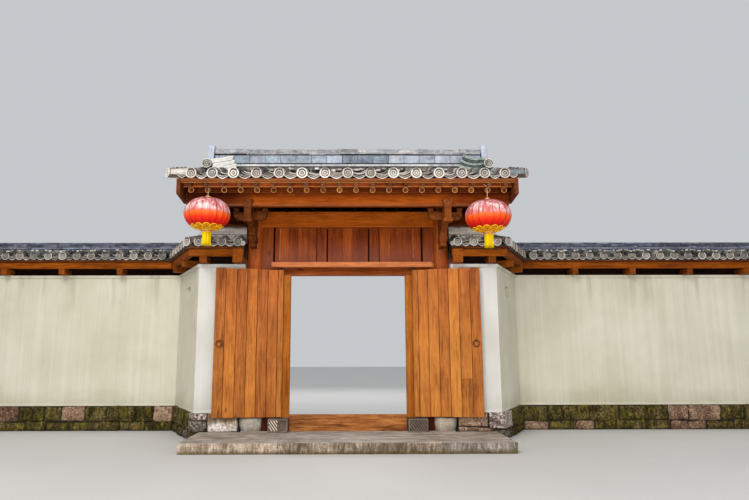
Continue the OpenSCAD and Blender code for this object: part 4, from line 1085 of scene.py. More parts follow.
def corner_stacks():
    """Stacked short ridges at the four corners of the main ridge, each closed by a round tile."""
    B = Build()
    rng = random.Random(4)
    for side in (-1, 1):
        for sgn in (-1, 1):
            pale = side < 0
            mat = 5 if pale else 4
            flip = (side * sgn) > 0
            # each layer: inner end (x, y, z), outer end (x, y, z), thickness, width, sag in the middle
            if pale:
                layers = [
                    ((2.060, 0.150, 4.812), (2.318, 0.550, 4.626), 0.0735, 0.060, 0.006),
                    ((2.030, 0.150, 4.738), (2.272, 0.548, 4.554), 0.0680, 0.066, 0.006),
                    ((2.000, 0.150, 4.670), (2.235, 0.530, 4.500), 0.0800, 0.072, 0.008),
                    ((1.975, 0.150, 4.588), (2.225, 0.500, 4.446), 0.060, 0.078, 0.0),
                ]
            else:
                layers = [
                    ((2.060, 0.150, 4.838), (2.300, 0.552, 4.655), 0.044, 0.056, 0.036),
                    ((2.045, 0.150, 4.790), (2.305, 0.556, 4.606), 0.040, 0.064, 0.040),
                    ((2.025, 0.150, 4.744), (2.302, 0.556, 4.560), 0.040, 0.068, 0.040),
                    ((2.005, 0.150, 4.698), (2.292, 0.552, 4.514), 0.042, 0.072, 0.034),
                    ((1.990, 0.150, 4.650), (2.272, 0.540, 4.466), 0.060, 0.076, 0.018),
                ]
            steps = 10
            for l, (a, b, th, half, sag) in enumerate(layers):
                a, b = Vector((side * a[0], sgn * a[1], a[2])), Vector((side * b[0], sgn * b[1], b[2]))
                flat = (b - a)
                flat.z = 0
                dirn = flat.normalized()
                nrm = Vector((-dirn.y, dirn.x, 0))
                parts = 2 if l % 2 else 3
                cuts = [0] + sorted(rng.sample(range(3, steps - 2), parts - 1)) + [steps]
                for c0, c1 in zip(cuts, cuts[1:]):
                    verts = []
                    t = rng.uniform(0.72, 1.0) if pale else (0.92 if l % 2 == 0 else 0.30) + rng.uniform(-0.08, 0.05)
                    for k in range(c0, c1 + 1):
                        q = k / steps
                        if k == c0 and c0:
                            q += 0.006
                        c = a.lerp(b, q) - Z * (sag * 4 * q * (1 - q))
                        jig = 0.0015 * math.sin(9 * q + l * 2)
                        for (o, z) in ((-half, -th * (0.97 if pale else 0.92)), (half, -th * (0.97 if pale else 0.92)), (half, -th * 0.25), (half * 0.86, 0.0), (-half * 0.86, 0.0), (-half, -th * 0.25)):
                            v = c + nrm * (o + jig)
                            verts.append(Vector((v.x, v.y, c.z + z)))
                    n, m_ = 6, c1 - c0 + 1
                    faces = [(k * n + j, k * n + (j + 1) % n, (k + 1) * n + (j + 1) % n, (k + 1) * n + j) for k in range(m_ - 1) for j in range(n)]
                    B.add(verts, faces + [tuple(range(n))[::-1], tuple((m_ - 1) * n + j for j in range(n))], t, mat, False, flip=flip)
            # dark core behind the joints
            a, b = layers[0][0], layers[0][1]
            verts = []
            for (x, y, z), inner in ((a, True), (b, False)):
                p0 = Vector((side * (x - (0.010 if inner else 0.020)), sgn * (y if inner else y - 0.03), 0))
                roof = zr(abs(p0.y)) + 0.24
                d_ = Vector((side * (b[0] - a[0]), sgn * (b[1] - a[1]), 0)).normalized()
                nrm = Vector((-d_.y, d_.x, 0))
                sg = layers[0][4]
                for (o, zz) in ((-0.030, roof), (0.030, roof), (0.024, z - 0.03 - sg), (-0.024, z - 0.03 - sg)):
                    v = p0 + nrm * o
                    verts.append(Vector((v.x, v.y, zz)))
            B.add(verts, [(k, (k + 1) % 4, 4 + (k + 1) % 4, 4 + k) for k in range(4)] + [(3, 2, 1, 0), (4, 5, 6, 7)], 0.3, 2, False, flip=flip)
            c = Vector((side * 2.362, sgn * 0.604, 4.543))
            # round neck of the end tile, sloping with the stack
            back = Vector((side * 2.300, sgn * 0.500, 4.560))
            tube(B, [c - Vector((0, sgn * 0.004, 0)), c.lerp(back, 0.5), back], [0.074, 0.070, 0.062], 16, 0.35, 0 if pale else 4)
            disc(B, c, (0, sgn, 0.03), 0.084, rng.uniform(0.3, 0.6), 22, 6 if pale else 1)
    return B.make("corner_ridge_stacks", TILES + [M["slate"], M["cream"], M["rim_grey"]], replaces=["corner_ridges"], weld=False)


# ------------------------------------------------------------ wall copings


def coping_fields():
    B = Build()
    rng = random.Random(77)
    pitch, r = 0.270, 0.070
    for side in (-1, 1):
        for i in range(3):
            for face in (0, 1):
                # face 0 looks to the courtyard (towards u < 0), 1 to the other side
                def P(u, d, z, side=side, i=i, face=face):
                    uu = WALL_T / 2 - d if face == 0 else WALL_T / 2 + d
                    return wall_point(side, i, u, uu, z)
                d0, d1 = 0.098, 0.434
                z0 = lambda d: 3.243 + (0.434 - d) * 0.33
                uu = WALL_T / 2 - d1 if face == 0 else WALL_T / 2 + d1
                a, b = span(i, uu)
                ai, bi = span(i, WALL_T / 2 - d0 if face == 0 else WALL_T / 2 + d0)
                lo, hi = max(a, ai), min(b, bi)
                if i == 0:
                    first = 0.088
                    n = int((hi - 0.06 - first) / pitch) + 1
                    rolls = [first + pitch * k for k in range(n)]
                else:
                    n = max(1, int((hi - lo - 0.16) / pitch))
                    off = ((hi - lo) - pitch * n) / 2
                    rolls = [lo + off + pitch * k for k in range(n + 1)]
                # covers that end short where a valley or hip cuts the slope
                extra = []
                if a < lo - 0.10:
                    extra += [lo - 0.02 - pitch * k for k in range(int((lo - a) / pitch) + 1)]
                if b > hi + 0.10:
                    extra += [hi + 0.02 + pitch * k for k in range(int((b - hi) / pitch) + 1)]
                tile_field(B, P, 0.33, d0, d1, rolls, [(p + 0.052, q - 0.052) for p, q in zip(rolls, rolls[1:])], z0, rng, r=r, sag=0.034, roll_len=0.18, pan_len=0.17, disc_r=0.0755, dim=(0.0, 0.12, 0.34)[i])
                for u in extra:
                    # cut back to the hip line
                    if u < lo:
                        f = (u - a) / max(1e-6, (ai - a))
                    else:
                        f = (b - u) / max(1e-6, (b - bi))
                    f = min(max(f, 0.0), 1.0)
                    top = d1 - (d1 - d0) * f
                    if d1 - top > 0.05:
                        tile_field(B, P, 0.33, top + 0.01, d1, [u], [], z0, rng, r=r, roll_len=0.18, disc_r=0.0755, dim=(0.0, 0.12, 0.34)[i])
                if i == 0:
                    # small end roll beside the column
                    low = P(0.004, d1, z0(d1) - 0.030)
                    S_ = (P(0.004, d0, z0(d0) - 0.030) - low)
                    U_ = (P(1, 0, 0) - P(0, 0, 0)).normalized()
                    half_pipe(B, low, S_.normalized(), U_, S_.normalized().cross(U_) if S_.normalized().cross(U_).z > 0 else U_.cross(S_.normalized()), S_.length, 0.036, 0.034, 0.6, 0, segs=8)
                    out_ = (P(0, 1, 0) - P(0, 0, 0)).normalized()
                    disc(B, low + out_ * 0.002, out_ + Z * 0.04, 0.036, 0.6, 14)
                # bed that carries the tiles
                aa, bb = span(i, WALL_T / 2 - 0.425 if face == 0 else WALL_T / 2 + 0.425)
                sec = [(0.098, 3.243 + 0.336 * 0.33 - 0.052), (0.425, 3.243 + 0.009 * 0.33 - 0.050), (0.425, 3.160), (0.400, 3.134), (0.310, 3.134), (0.098, 3.190)]
                verts = []
                for (d, z) in sec:
                    u_ = WALL_T / 2 - d if face == 0 else WALL_T / 2 + d
                    s0, s1 = span(i, u_)
                    verts.append(wall_point(side, i, s0, u_, z))
                for (d, z) in sec:
                    u_ = WALL_T / 2 - d if face == 0 else WALL_T / 2 + d
                    s0, s1 = span(i, u_)
                    verts.append(wall_point(side, i, s1, u_, z))
                n = len(sec)
                B.add(verts, [(k, (k + 1) % n, n + (k + 1) % n, n + k) for k in range(n)] + [tuple(range(n))[::-1], tuple(n + k for k in range(n))], 0.45, 2, False, flip=(side > 0) == (face == 0))
            # hip and valley covers at the bends
            if i > 0:
                for face in (0, 1):
                    pts = []
                    for d in (0.10, 0.43):
                        u_ = WALL_T / 2 - d if face == 0 else WALL_T / 2 + d
                        s0, s1 = span(i, u_)
                        pts.append(wall_point(side, i, s0, u_, 3.243 + (0.434 - d) * 0.33 + 0.004))
                    convex = (i == 1) == (face == 0)
                    if convex:
                        S = (pts[0] - pts[1]).normalized()
                        U = S.cross(Z).normalized()
                        half_pipe(B, pts[1], S, U, U.cross(S) if U.cross(S).z > 0 else S.cross(U), (pts[0] - pts[1]).length, 0.074, 0.070, 0.5, 0, segs=10)
                        out = (pts[1] - pts[0])
                        out.z = 0
                        disc(B, pts[1], out.normalized() + Z * 0.04, 0.080, 0.5)
                    else:
                        # flat valley strip
                        S = (pts[0] - pts[1])
                        q = S.cross(Z).normalized() * 0.075
                        v = [pts[1] - q - Z * 0.028, pts[1] + q - Z * 0.028, pts[0] + q - Z * 0.028, pts[0] - q - Z * 0.028, pts[1] - Z * 0.050, pts[0] - Z * 0.050]
                        B.add(v, [(0, 4, 5, 3), (4, 1, 2, 5)], 0.4, 0, False)
                        B.add(v, [(3, 5, 4, 0), (5, 2, 1, 4)], 0.4, 0, False)
    return B.make("coping_tile_field", TILES, replaces=["coping_tiles"])


def coping_ridge():
    B = Build()
    rng = random.Random(9)

    def band(side, i, u0, u1, z0, z1, length, mat, base, spread):
        s0, s1 = max(span(i, u0)[0], span(i, u1)[0]), min(span(i, u0)[1], span(i, u1)[1])
        n = max(1, round((s1 - s0) / length))
        for k in range(n):
            a0, b0 = span(i, u0)
            a1, b1 = span(i, u1)
            p = s0 + (s1 - s0) * k / n + 0.003
            q = s0 + (s1 - s0) * (k + 1) / n - 0.003
            e = [[p, p], [q, q]]
            if k == 0:
                e[0] = [a0, a1]
            if k == n - 1:
                e[1] = [b0, b1]
            dz = rng.uniform(-0.0015, 0.0015)
            v = []
            for z in (z0, z1 + dz):
                v += [wall_point(side, i, e[0][0], u0, z), wall_point(side, i, e[1][0], u0, z), wall_point(side, i, e[1][1], u1, z), wall_point(side, i, e[0][1], u1, z)]
            B.add(v, BOX_F, base + rng.uniform(-spread, spread), mat, flip=side < 0)

    for side in (-1, 1):
        for i in range(3):
            far = i == 2
            mt = 9 if far else 8
            band(side, i, 0.082, 0.278, 3.296, 3.430, 0.24, mt, 0.40, 0.2)
            band(side, i, 0.104, 0.256, 3.435, 3.535, 9.0, 2, 0.3, 0.0)
            band(side, i, 0.078, 0.282, 3.437, 3.463, 0.30, mt, 0.80, 0.15)
            band(side, i, 0.086, 0.274, 3.466, 3.494, 0.26, mt, 0.45 if far else 0.72, 0.22)
            band(side, i, 0.094, 0.266, 3.497, 3.536, 0.28, mt, 0.35 if far else 0.66, 0.22)
            # lumps of lime where the slopes meet the courses
            for u_, face in ((0.070, 0), (0.290, 1)):
                s0, s1 = span(i, u_)
                n = int((s1 - s0) / 0.085)
                for k in range(n):
                    s = s0 + (s1 - s0) * (k + rng.uniform(0.2, 0.8)) / n
                    w, z = rng.uniform(0.018, 0.042), 3.398 + rng.uniform(-0.012, 0.014)
                    rough_block(B, (s - w, u_ - 0.018, z - 0.020), (s + w, u_ + 0.018, z + 0.014), (1, 1, 1), 0.010, 0.004, 24.0, rng.uniform(0.5, 1.0) - (0.35 if far else 0.0), 8, lambda p, side=side, i=i: wall_point(side, i, p[0], p[1], p[2]), k * 0.7, side < 0)
            # cap of overlapping round tiles
            c = (0.180)
            a, b = span(i, c)
            n = max(1, round((b - a) / 0.26))
            segs = 10
            for k in range(n):
                t = rng.uniform(0.3, 0.75)
                verts = []
                for q, r in ((0.0, 0.066), (0.9, 0.062), (1.03, 0.060)):
                    s = a + (b - a) * (k + q) / n
                    for j in range(segs + 1):
                        an = math.pi * j / segs
                        verts.append(wall_point(side, i, s, c - math.cos(an) * r, 3.536 + math.sin(an) * r * 0.66))
                m_ = segs + 1
                B.add(verts, [(q * m_ + j, (q + 1) * m_ + j, (q + 1) * m_ + j + 1, q * m_ + j + 1) for q in range(2) for j in range(segs)], t, mt, True, flip=side > 0)
    return B.make("coping_ridge_courses", TILES + [M["ridge"], M["ridge_pale"], M["ridge_cap"], M["cream"], M["cope_band"], M["cope_slate"]], replaces=["coping_ridges"])


# ------------------------------------------------------------------- timber


def boards(B, a, b, cuts, axis, rng, base=0.5, spread=0.15, gap=0.003, mat=0, place=same, tones=None, flip=False):
    """Boards side by side between a and b, cut at the given coordinates of an axis."""
    edges = [a[axis]] + list(cuts) + [b[axis]]
    for k in range(len(edges) - 1):
        p, q = list(a), list(b)
        p[axis] = edges[k] + gap / 2
        q[axis] = edges[k + 1] - gap / 2
        t = tones[k] if tones else base + rng.uniform(-spread, spread)
        box(B, p, q, t, mat, place, flip)


def rafters():
    B = Build()
    rng = random.Random(31)
    for sgn in (-1, 1):
        for i in range(-10, 10):
            x = (i + 0.5) * PITCH
            tip = Vector((x, sgn * 1.070, 3.952))
            S = Vector((0, -sgn * math.cos(ALPHA), math.sin(ALPHA)))
            L = 1.048 / math.cos(ALPHA)
            t = rng.uniform(0.3, 0.7)
            # beyond 0.46 m from the tip at the front, 0.16 m at the back, the rafters take the near-black wood: painted
            # shade
            revolve(B, [(0.044, L), (0.045, L - 0.004), (0.0455, 0.46 if sgn < 0 else 0.16), (0.0455, 0.010), (0.0445, 0.002)], tip, S, 20, t, [2, 2, 0, 0])
            # bright edge ring, darker heart
            te = rng.uniform(0.35, 0.8)
            revolve(B, [(0.0445, 0.002), (0.0430, -0.001), (0.0365, -0.001), (0.0350, 0.001)], tip, S, 20, te, 1)
            revolve(B, [(0.0350, 0.001), (0.024, 0.003), (0.012, 0.002), (0.0, 0.0025)], tip, S, 20, rng.uniform(0.1, 0.7), 3)
            revolve(B, [(0.0, L), (0.044, L)], tip, S, 20, t, 0)
    return B.make("round_rafter_logs", [M["rafter_y"], M["rafter_end"], M["dark_y"], M["rafter_heart"]], replaces=["round_rafters"])


def fly_rafters():
    B = Build()
    rng = random.Random(32)
    for sgn in (-1, 1):
        for i in range(-10, 10):
            x = (i + 0.5) * PITCH
            t = rng.uniform(0.35, 0.75)
            h = 0.0275
            a, b = 0.480, 1.214
            pts = [(sgn * a, zr(a) + O_BOARD), (sgn * a, zr(a) + O_FLY), (sgn * b, zr(b) + O_FLY), (sgn * b, zr(b) + O_BOARD)]
            v = [Vector((x + s * h, y, z)) for s in (-1, 1) for y, z in pts]
            f = [(0, 1, 5, 4), (1, 2, 6, 5), (3, 0, 4, 7), (0, 3, 2, 1), (4, 5, 6, 7)]
            B.add(v, f, t, 0, False, flip=sgn > 0)
            B.add(v, [(2, 3, 7, 6)], t, 1, False, flip=sgn > 0)
    for sgn in (-1, 1):
        xs = [-2.598 - 0.0275] + [(i + 0.5) * PITCH for i in range(-10, 10)] + [2.598 + 0.0275]
        for p, q in zip(xs, xs[1:]):
            a, b = 1.040, 1.058
            pts = [(sgn * a, zr(a) + O_BOARD + 0.0004), (sgn * b, zr(b) + O_BOARD + 0.0004), (sgn * b, zr(b) + O_FLY - 0.0004), (sgn * a, zr(a) + O_FLY - 0.0004)]
            prism(B, pts if sgn > 0 else pts[::-1], p + 0.0279, q - 0.0279, lambda y, z, w: Vector((w, y, z)), rng.uniform(0.3, 0.7), 2)
        a, b = 1.0622, 1.0690
        pts = [(sgn * a, zr(a) + O_RAF + 0.005), (sgn * b, zr(b) + O_RAF + 0.005), (sgn * b, zr(b) + O_RAF + 0.0200), (sgn * a, zr(a) + O_RAF + 0.0200)]
        for p, q, t in ((-2.598, -0.91, 0.75), (-0.908, 1.17, 0.6), (1.172, 2.598, 0.85)):
            prism(B, pts if sgn > 0 else pts[::-1], p, q, lambda y, z, w: Vector((w, y, z)), t, 3)
    return B.make("flying_rafter_bars", [M["rafter_y"], M["fly_end"], M["closing_x"], M["lath_x"]], replaces=["flying_rafters"], bevel=0.003)


def roof_deck():
    B = Build()
    rng = random.Random(33)
    for sgn in (-1, 1):
        # boards run along X, laid side by side up the slope
        def strip(d0, d1, off, width, mat=0):
            n = max(1, round((d1 - d0) / width))
            for k in range(n):
                a = d0 + (d1 - d0) * k / n + 0.001
                b = d0 + (d1 - d0) * (k + 1) / n - 0.001
                pts = [(sgn * a, zr(a) + off), (sgn * b, zr(b) + off), (sgn * b, zr(b) + off + 0.0205), (sgn * a, zr(a) + off + 0.0205)]
                # Most boards of the lower layer take the near-black wood: painted shade. The two outermost boards of
                # the upper layer, and of the lower layer at the front, take the brighter eave deck wood: painted light.
                m_ = 2 if (mat and k < n - (3 if sgn < 0 else 1)) else 0
                if k > n - 3 and (sgn < 0 or not mat):
                    m_ = 3
                prism(B, pts if sgn > 0 else pts[::-1], -2.600, 2.600, lambda p, q, w: Vector((w, p, q)), rng.uniform(0.25, 0.7), m_)
        strip(0.004, 1.062, O_RAF, 0.16, 1)
        strip(0.470, 1.214, O_FLY, 0.15)
    return B.make("roof_board_strips", [M["deck_x"], M["fascia_x"], M["dark_wood"], M["eave_deck"]], replaces=["roof_boards"])


def stop_boards():
    """Boards that close the gaps between the rafters over the eave purlins, in a darkened wood that paints the shade
    under the eaves.
    """
    B = Build()
    for sgn in (-1, 1):
        y0, y1 = sorted((sgn * 0.846, sgn * 0.864))
        z0, z1 = zr(0.855) - O_RAF - 0.012, zr(0.855) + O_RAF - 0.002
        for k in range(4):
            x0 = -2.585 + 1.2925 * k
            prism(B, [(y0, z0), (y1, z0), (y1, z1), (y0, z1)], x0 + 0.001, x0 + 1.2915, lambda a, b, w: Vector((w, a, b)), (0.45, 0.6, 0.5, 0.4)[k], 0)
    return B.make("eave_stop_boards", [M["stop_x"]])


def fascia():
    B = Build()
    for sgn in (-1, 1):
        y0, y1 = sorted((sgn * 1.214, sgn * 1.246))
        yo = sgn * 1.2485
        pts = [(y0, 4.036), (y1, 4.036), (y1, 4.094), (y0, 4.094)]
        for (x0, x1, t) in ((-2.599, -0.72, 0.55), (-0.716, 1.33, 0.42), (1.334, 2.599, 0.62)):
            prism(B, pts, x0, x1, lambda a, b, w: Vector((w, a, b)), t, 0, 0.002)
        # raised upper strip of the fascia
        a, b = sorted((yo, sgn * 1.244))
        prism(B, [(a, 4.068), (b, 4.068), (b, 4.093), (a, 4.093)], -2.598, 2.598, lambda p, q, w: Vector((w, p, q)), 0.8, 0, 0.0)
    return B.make("eave_fascia_boards", [M["fascia_x"]], replaces=["eave_fascias"], bevel=0.003)


def transom():
    B = Build()
    rng = random.Random(8)
    z0, z1 = 2.930, 3.564

    def edge(y):
        return COL_X - math.sqrt(max(0.0, (COL_R + 0.0006) ** 2 - y * y))

    # sheet behind the joints, so that no light shows through them
    box(B, (-1.290, -0.006, z0), (1.290, 0.008, z1), 0.2, 3)
    # recessed boards between stiles and strips, their joints read from the light
    fields = [(-1.258, [-1.175, -1.02, -0.86, -0.70], -0.545), (-0.345, [-0.09, 0.075], 0.345), (0.545, [0.73, 0.945, 1.125], 1.258)]
    for lo, cuts, hi in fields:
        xs = [lo] + cuts + [hi]
        for a, b in zip(xs, xs[1:]):
            box(B, (a + 0.0007, -0.020, z0), (b - 0.0007, 0.010, z1), 0.5 + rng.uniform(-0.24, 0.24), 0)
    # one bright splinter of new wood
    box(B, (-1.180, -0.0245, z0 + 0.06), (-1.171, -0.0195, z1 - 0.01), 1.0, 4)
    box(B, (1.123, -0.0225, z0 + 0.10), (1.130, -0.0195, z1 - 0.01), 0.8, 4)
    for s in (-1, 1):
        place = same if s > 0 else mirror_x
        box(B, (0.372, -0.034, z0), (0.530, 0.020, z1), rng.uniform(0.35, 0.5), 0, place, s < 0)
        # stile cut round the column
        ys = [-0.046, -0.028, -0.010, 0.008, 0.026]
        pts = [(1.290, -0.046)] + [(edge(y), y) for y in ys] + [(1.290, 0.026)]
        prism(B, pts, z0 if s > 0 else 2.8455, z1, lambda p, q, w: place(Vector((p, q, w))), rng.uniform(0.3, 0.45), 0, flip=s < 0)
    box(B, (-1.258, -0.026, z1 - 0.016), (1.258, 0.016, z1), 0.45, 2)
    box(B, (-1.258, -0.024, z0), (1.258, 0.016, z0 + 0.020), 0.4, 0)
    return B.make("transom_boards", [M["panel_z"], M["frame_z"], M["frame_x"], M["joint"], M["light_x"]], replaces=["transom_panel"], bevel=0.0025)


def leaf(side):
    B = Build()
    rng = random.Random(100 + side)
    ca, sa = math.cos(AJAR), math.sin(AJAR)

    def place(p):
        q = Vector((PIVOT[0] + p[0] * ca + p[1] * sa, PIVOT[1] - p[0] * sa + p[1] * ca, p[2]))
        return q if side > 0 else Vector((-q.x, q.y, q.z))

    fl = side < 0
    xs = [0.003, 0.070, 0.235, 0.408, 0.575, 0.750, 0.933, 1.100]
    tones = {1: [0.46, 0.62, 0.60, 0.52, 0.71, 0.42, 0.36], -1: [0.44, 0.53, 0.41, 0.64, 0.38, 0.66, 0.34]}[side]
    # the heads of the planks rise away from the pivot
    tops = {1: [-0.026, -0.022, -0.014, -0.009, -0.009, -0.003, 0.0], -1: [-0.024, -0.023, -0.015, -0.009, -0.007, -0.007, 0.0]}[side]
    for k in range(7):
        a, b = xs[k] + (0.0 if k == 0 else 0.0036), xs[k + 1] - (0.0 if k == 6 else 0.0036)
        z0, z1 = 0.385 + rng.uniform(0, 0.003), 2.822 + tops[k]
        t = tones[k]
        if side > 0 and k == 5:
            # a patched plank
            box(B, (a, -0.025, z0), (b, 0.025, 0.988), t - 0.10, 0, place, fl)
            box(B, (a, -0.0245, 0.991), (b, 0.025, z1), t + 0.04, 0, place, fl)
        else:
            box(B, (a, -0.025, z0), (b, 0.025, z1), t, 0, place, fl)
    # dark tongue behind the joints
    box(B, (0.0, -0.010, 0.392), (1.094, 0.018, 2.786), 0.3, 4, place, fl)
    # rounded hinge stile
    n = 14
    pts = [(0.003, -0.025)] + [(0.003 - math.sin(math.pi * k / n) * 0.027 if 0 < k < n else 0.0, -0.025 * math.cos(math.pi * k / n)) for k in range(0, n + 1)][::1] + [(0.003, 0.025)]
    pts = [(0.003, 0.025)] + [(-0.025 * math.sin(math.pi * k / n), 0.025 * math.cos(math.pi * k / n)) for k in range(n + 1)] + [(0.003, -0.025)]
    prism(B, pts, 0.385, 2.822 + tops[0], lambda p, q, w: place(Vector((p, q, w))), tones[0], 0, 0.0, True, flip=fl)
    # ledges with clenched pegs across the back
    for z in (0.620, 1.240, 1.860, 2.480):
        box(B, (0.060, 0.025, z), (1.040, 0.052, z + 0.090), 0.45 + rng.uniform(-0.1, 0.1), 2, place, fl)
        for k in range(6):
            x = (xs[k + 1] + xs[k + 2]) / 2
            if x > 1.02:
                continue
            for dz in (0.025, 0.065):
                revolve(B, [(0.006, 0.0), (0.005, 0.002), (0.0, 0.0025)], place(Vector((x, 0.052, z + dz))), place(Vector((x, 1.052, z + dz))) - place(Vector((x, 0.052, z + dz))), 8, 0.3, 3)
    # pivot pins
    c = place(Vector((0, 0, 0)))
    revolve(B, [(0.0, 0.345), (0.019, 0.345), (0.022, 0.350), (0.022, 0.386)], (c.x, c.y, 0), (0, 0, 1), 20, 0.4, 3)
    revolve(B, [(0.022, 2.780), (0.022, 2.893), (0.019, 2.897), (0.0, 2.897)], (c.x, c.y, 0), (0, 0, 1), 20, 0.4, 3)
    nm = "right" if side > 0 else "left"
    return B.make(nm + "_leaf_planks", [M["door"], M["deck_x"], M["frame_x"], M["iron"], M["joint"]], body=nm + "_leaf", replaces=[nm + "_door_leaf"], bevel=0.0025, angle=50)


def side_panel():
    B = Build()
    rng = random.Random(14)
    for s in (-1, 1):
        place = same if s > 0 else mirror_x
        fl = s < 0

        def edge(y, r=COL_R + 0.0006):
            return COL_X - math.sqrt(max(0.0, r * r - y * y))

        def scribed(x0, y0, y1, z0, z1, t, mat, r=COL_R + 0.0006):
            ys = [y0 + (y1 - y0) * k / 4 for k in range(5)]
            pts = [(x0, y0)] + [(edge(y, r), y) for y in ys] + [(x0, y1)]
            prism(B, pts, z0, z1, lambda p, q, w: place(Vector((p, q, w))), t, mat, flip=fl)

        box(B, (1.091, -0.095, 0.372), (1.151, -0.035, 2.845), 0.5, 0, place, fl)
        for a, b in ((1.153, 1.250), (1.252, 1.352)):
            box(B, (a, -0.077, 0.470), (b, -0.053, 2.780), 0.4 + rng.uniform(-0.1, 0.1), 0, place, fl)
        scribed(1.354, -0.077, -0.053, 0.470, 2.780, 0.45, 0)
        scribed(1.151, -0.095, -0.035, 2.780, 2.845, 0.45, 1)
        scribed(1.151, -0.095, -0.035, 0.385, 0.470, 0.45, 1)
        scribed(1.296, -0.095, -0.035, 0.155, 0.372, 0.35, 2, 0.1975)
        box(B, (1.296, -0.095, 0.372), (1.400, -0.035, 0.385), 0.4, 1, place, fl)
    return B.make("side_panel_frames", [M["frame_z"], M["frame_x"], M["foot_z"]], replaces=["side_panels"], bevel=0.003)


def coping_timber():
    B = Build()
    rng = random.Random(41)
    for s in (-1, 1):
        fl = s < 0
        for i in range(3):
            for (u0, u1) in ((-0.215, -0.135), (WALL_T + 0.135, WALL_T + 0.215)):
                a0, b0 = span(i, u0)
                a1, b1 = span(i, u1)
                v = []
                for z in (3.010, 3.130):
                    v += [wall_point(s, i, a0, u0, z), wall_point(s, i, b0, u0, z), wall_point(s, i, b1, u1, z), wall_point(s, i, a1, u1, z)]
                B.add(v, BOX_F, rng.uniform(0.45, 0.75), 0, flip=fl)
            # thin boards that close the ends of the tile bed
            for (u0, u1) in ((-0.2490, -0.2462), (WALL_T + 0.2462, WALL_T + 0.2490)):
                a0, b0 = span(i, u0)
                a1, b1 = span(i, u1)
                v = []
                for z in (3.1325, 3.157):
                    v += [wall_point(s, i, a0, u0, z), wall_point(s, i, b0, u0, z), wall_point(s, i, b1, u1, z), wall_point(s, i, a1, u1, z)]
                B.add(v, BOX_F, 0.25, 0, flip=fl)
        def bearer(i, c, w, u0, u1, t, top=3.0095):
            v = []
            for z in (2.9005, top):
                v += [wall_point(s, i, c - w / 2, u0, z), wall_point(s, i, c + w / 2, u0, z), wall_point(s, i, c + w / 2, u1, z), wall_point(s, i, c - w / 2, u1, z)]
            B.add(v, BOX_F, t, 1, flip=fl)
        # core of near-black wood along the wall top behind the bearers: painted shade
        for i in range(3):
            a0, b0 = span(i, 0.10)
            a1, b1 = span(i, 0.26)
            v = []
            for z in (2.9005, 3.2955):
                v += [wall_point(s, i, max(a0, 0.02) if i == 0 else a0, 0.10, z), wall_point(s, i, b0, 0.10, z), wall_point(s, i, b1, 0.26, z), wall_point(s, i, max(a1, 0.02) if i == 0 else a1, 0.26, z)]
            B.add(v, BOX_F, 0.4, 2, flip=fl)
        bearer(0, 0.093, 0.164, -0.215, 0.575, 0.6)
        bearer(0, 0.093, 0.164, -0.239, -0.2155, 0.72, 3.1295)
        bearer(0, 0.668, 0.124, -0.215, 0.150, 0.45)
        for c in (0.420, 1.250):
            bearer(1, c, 0.110, -0.215, 0.575, rng.uniform(0.4, 0.7))
        for x in (4.350, 5.450, 6.550, 7.650):
            bearer(2, x - 3.240, 0.110, -0.215, 0.575, rng.uniform(0.4, 0.7))
    return B.make("coping_timber_set", [M["cope_x"], M["cope_y"], M["dark_wood"]], replaces=["coping_timbers"], bevel=0.004)


# -------------------------------------------------------------------- stone


def stone_quad(B, quad, u0, u1, r, amp, freq, tone, mat, place, seed, flip, bulge=0.0):
    """A rubble stone whose face is a four-cornered outline (s, z), from its lower left corner round."""
    a, b, c, d = quad
    w, h = max(b[0] - a[0], c[0] - d[0]), max(d[1] - a[1], c[1] - b[1])

    def warp(p):
        x, z = p[0] / w, p[2] / h
        s = (a[0] * (1 - x) + b[0] * x) * (1 - z) + (d[0] * (1 - x) + c[0] * x) * z
        zz = (a[1] * (1 - x) + b[1] * x) * (1 - z) + (d[1] * (1 - x) + c[1] * x) * z
        u = p[1] - bulge * 16 * max(0.0, x * (1 - x)) * max(0.0, z * (1 - z)) * (u1 - p[1]) / (u1 - u0)
        return place(Vector((s, u, max(zz, 0.0))))
    cells = (max(4, int(w / 0.035)), 2, max(3, int(h / 0.035)))
    rough_block(B, (0, u0, 0), (w, u1, h), cells, r, amp, freq, tone, mat, warp, seed, flip)


def bent(side, s, u, z):
    """A point of the pier's and splay's faces, unrolled along s with a rounded corner between them."""
    corner = 0.778
    t = min(max((s - corner) / 0.12 + 0.5, 0.0), 1.0)
    n = (WN[0] * (1 - t) + WN[1] * t).normalized()
    k = 1 + 0.183 * (1 - abs(2 * t - 1))
    base = WP[0] + WD[0] * s if s < corner else WP[1] + WD[1] * (s - corner)
    p = base + n * (u * k)
    return Vector((side * p.x, p.y, max(z, 0.0)))


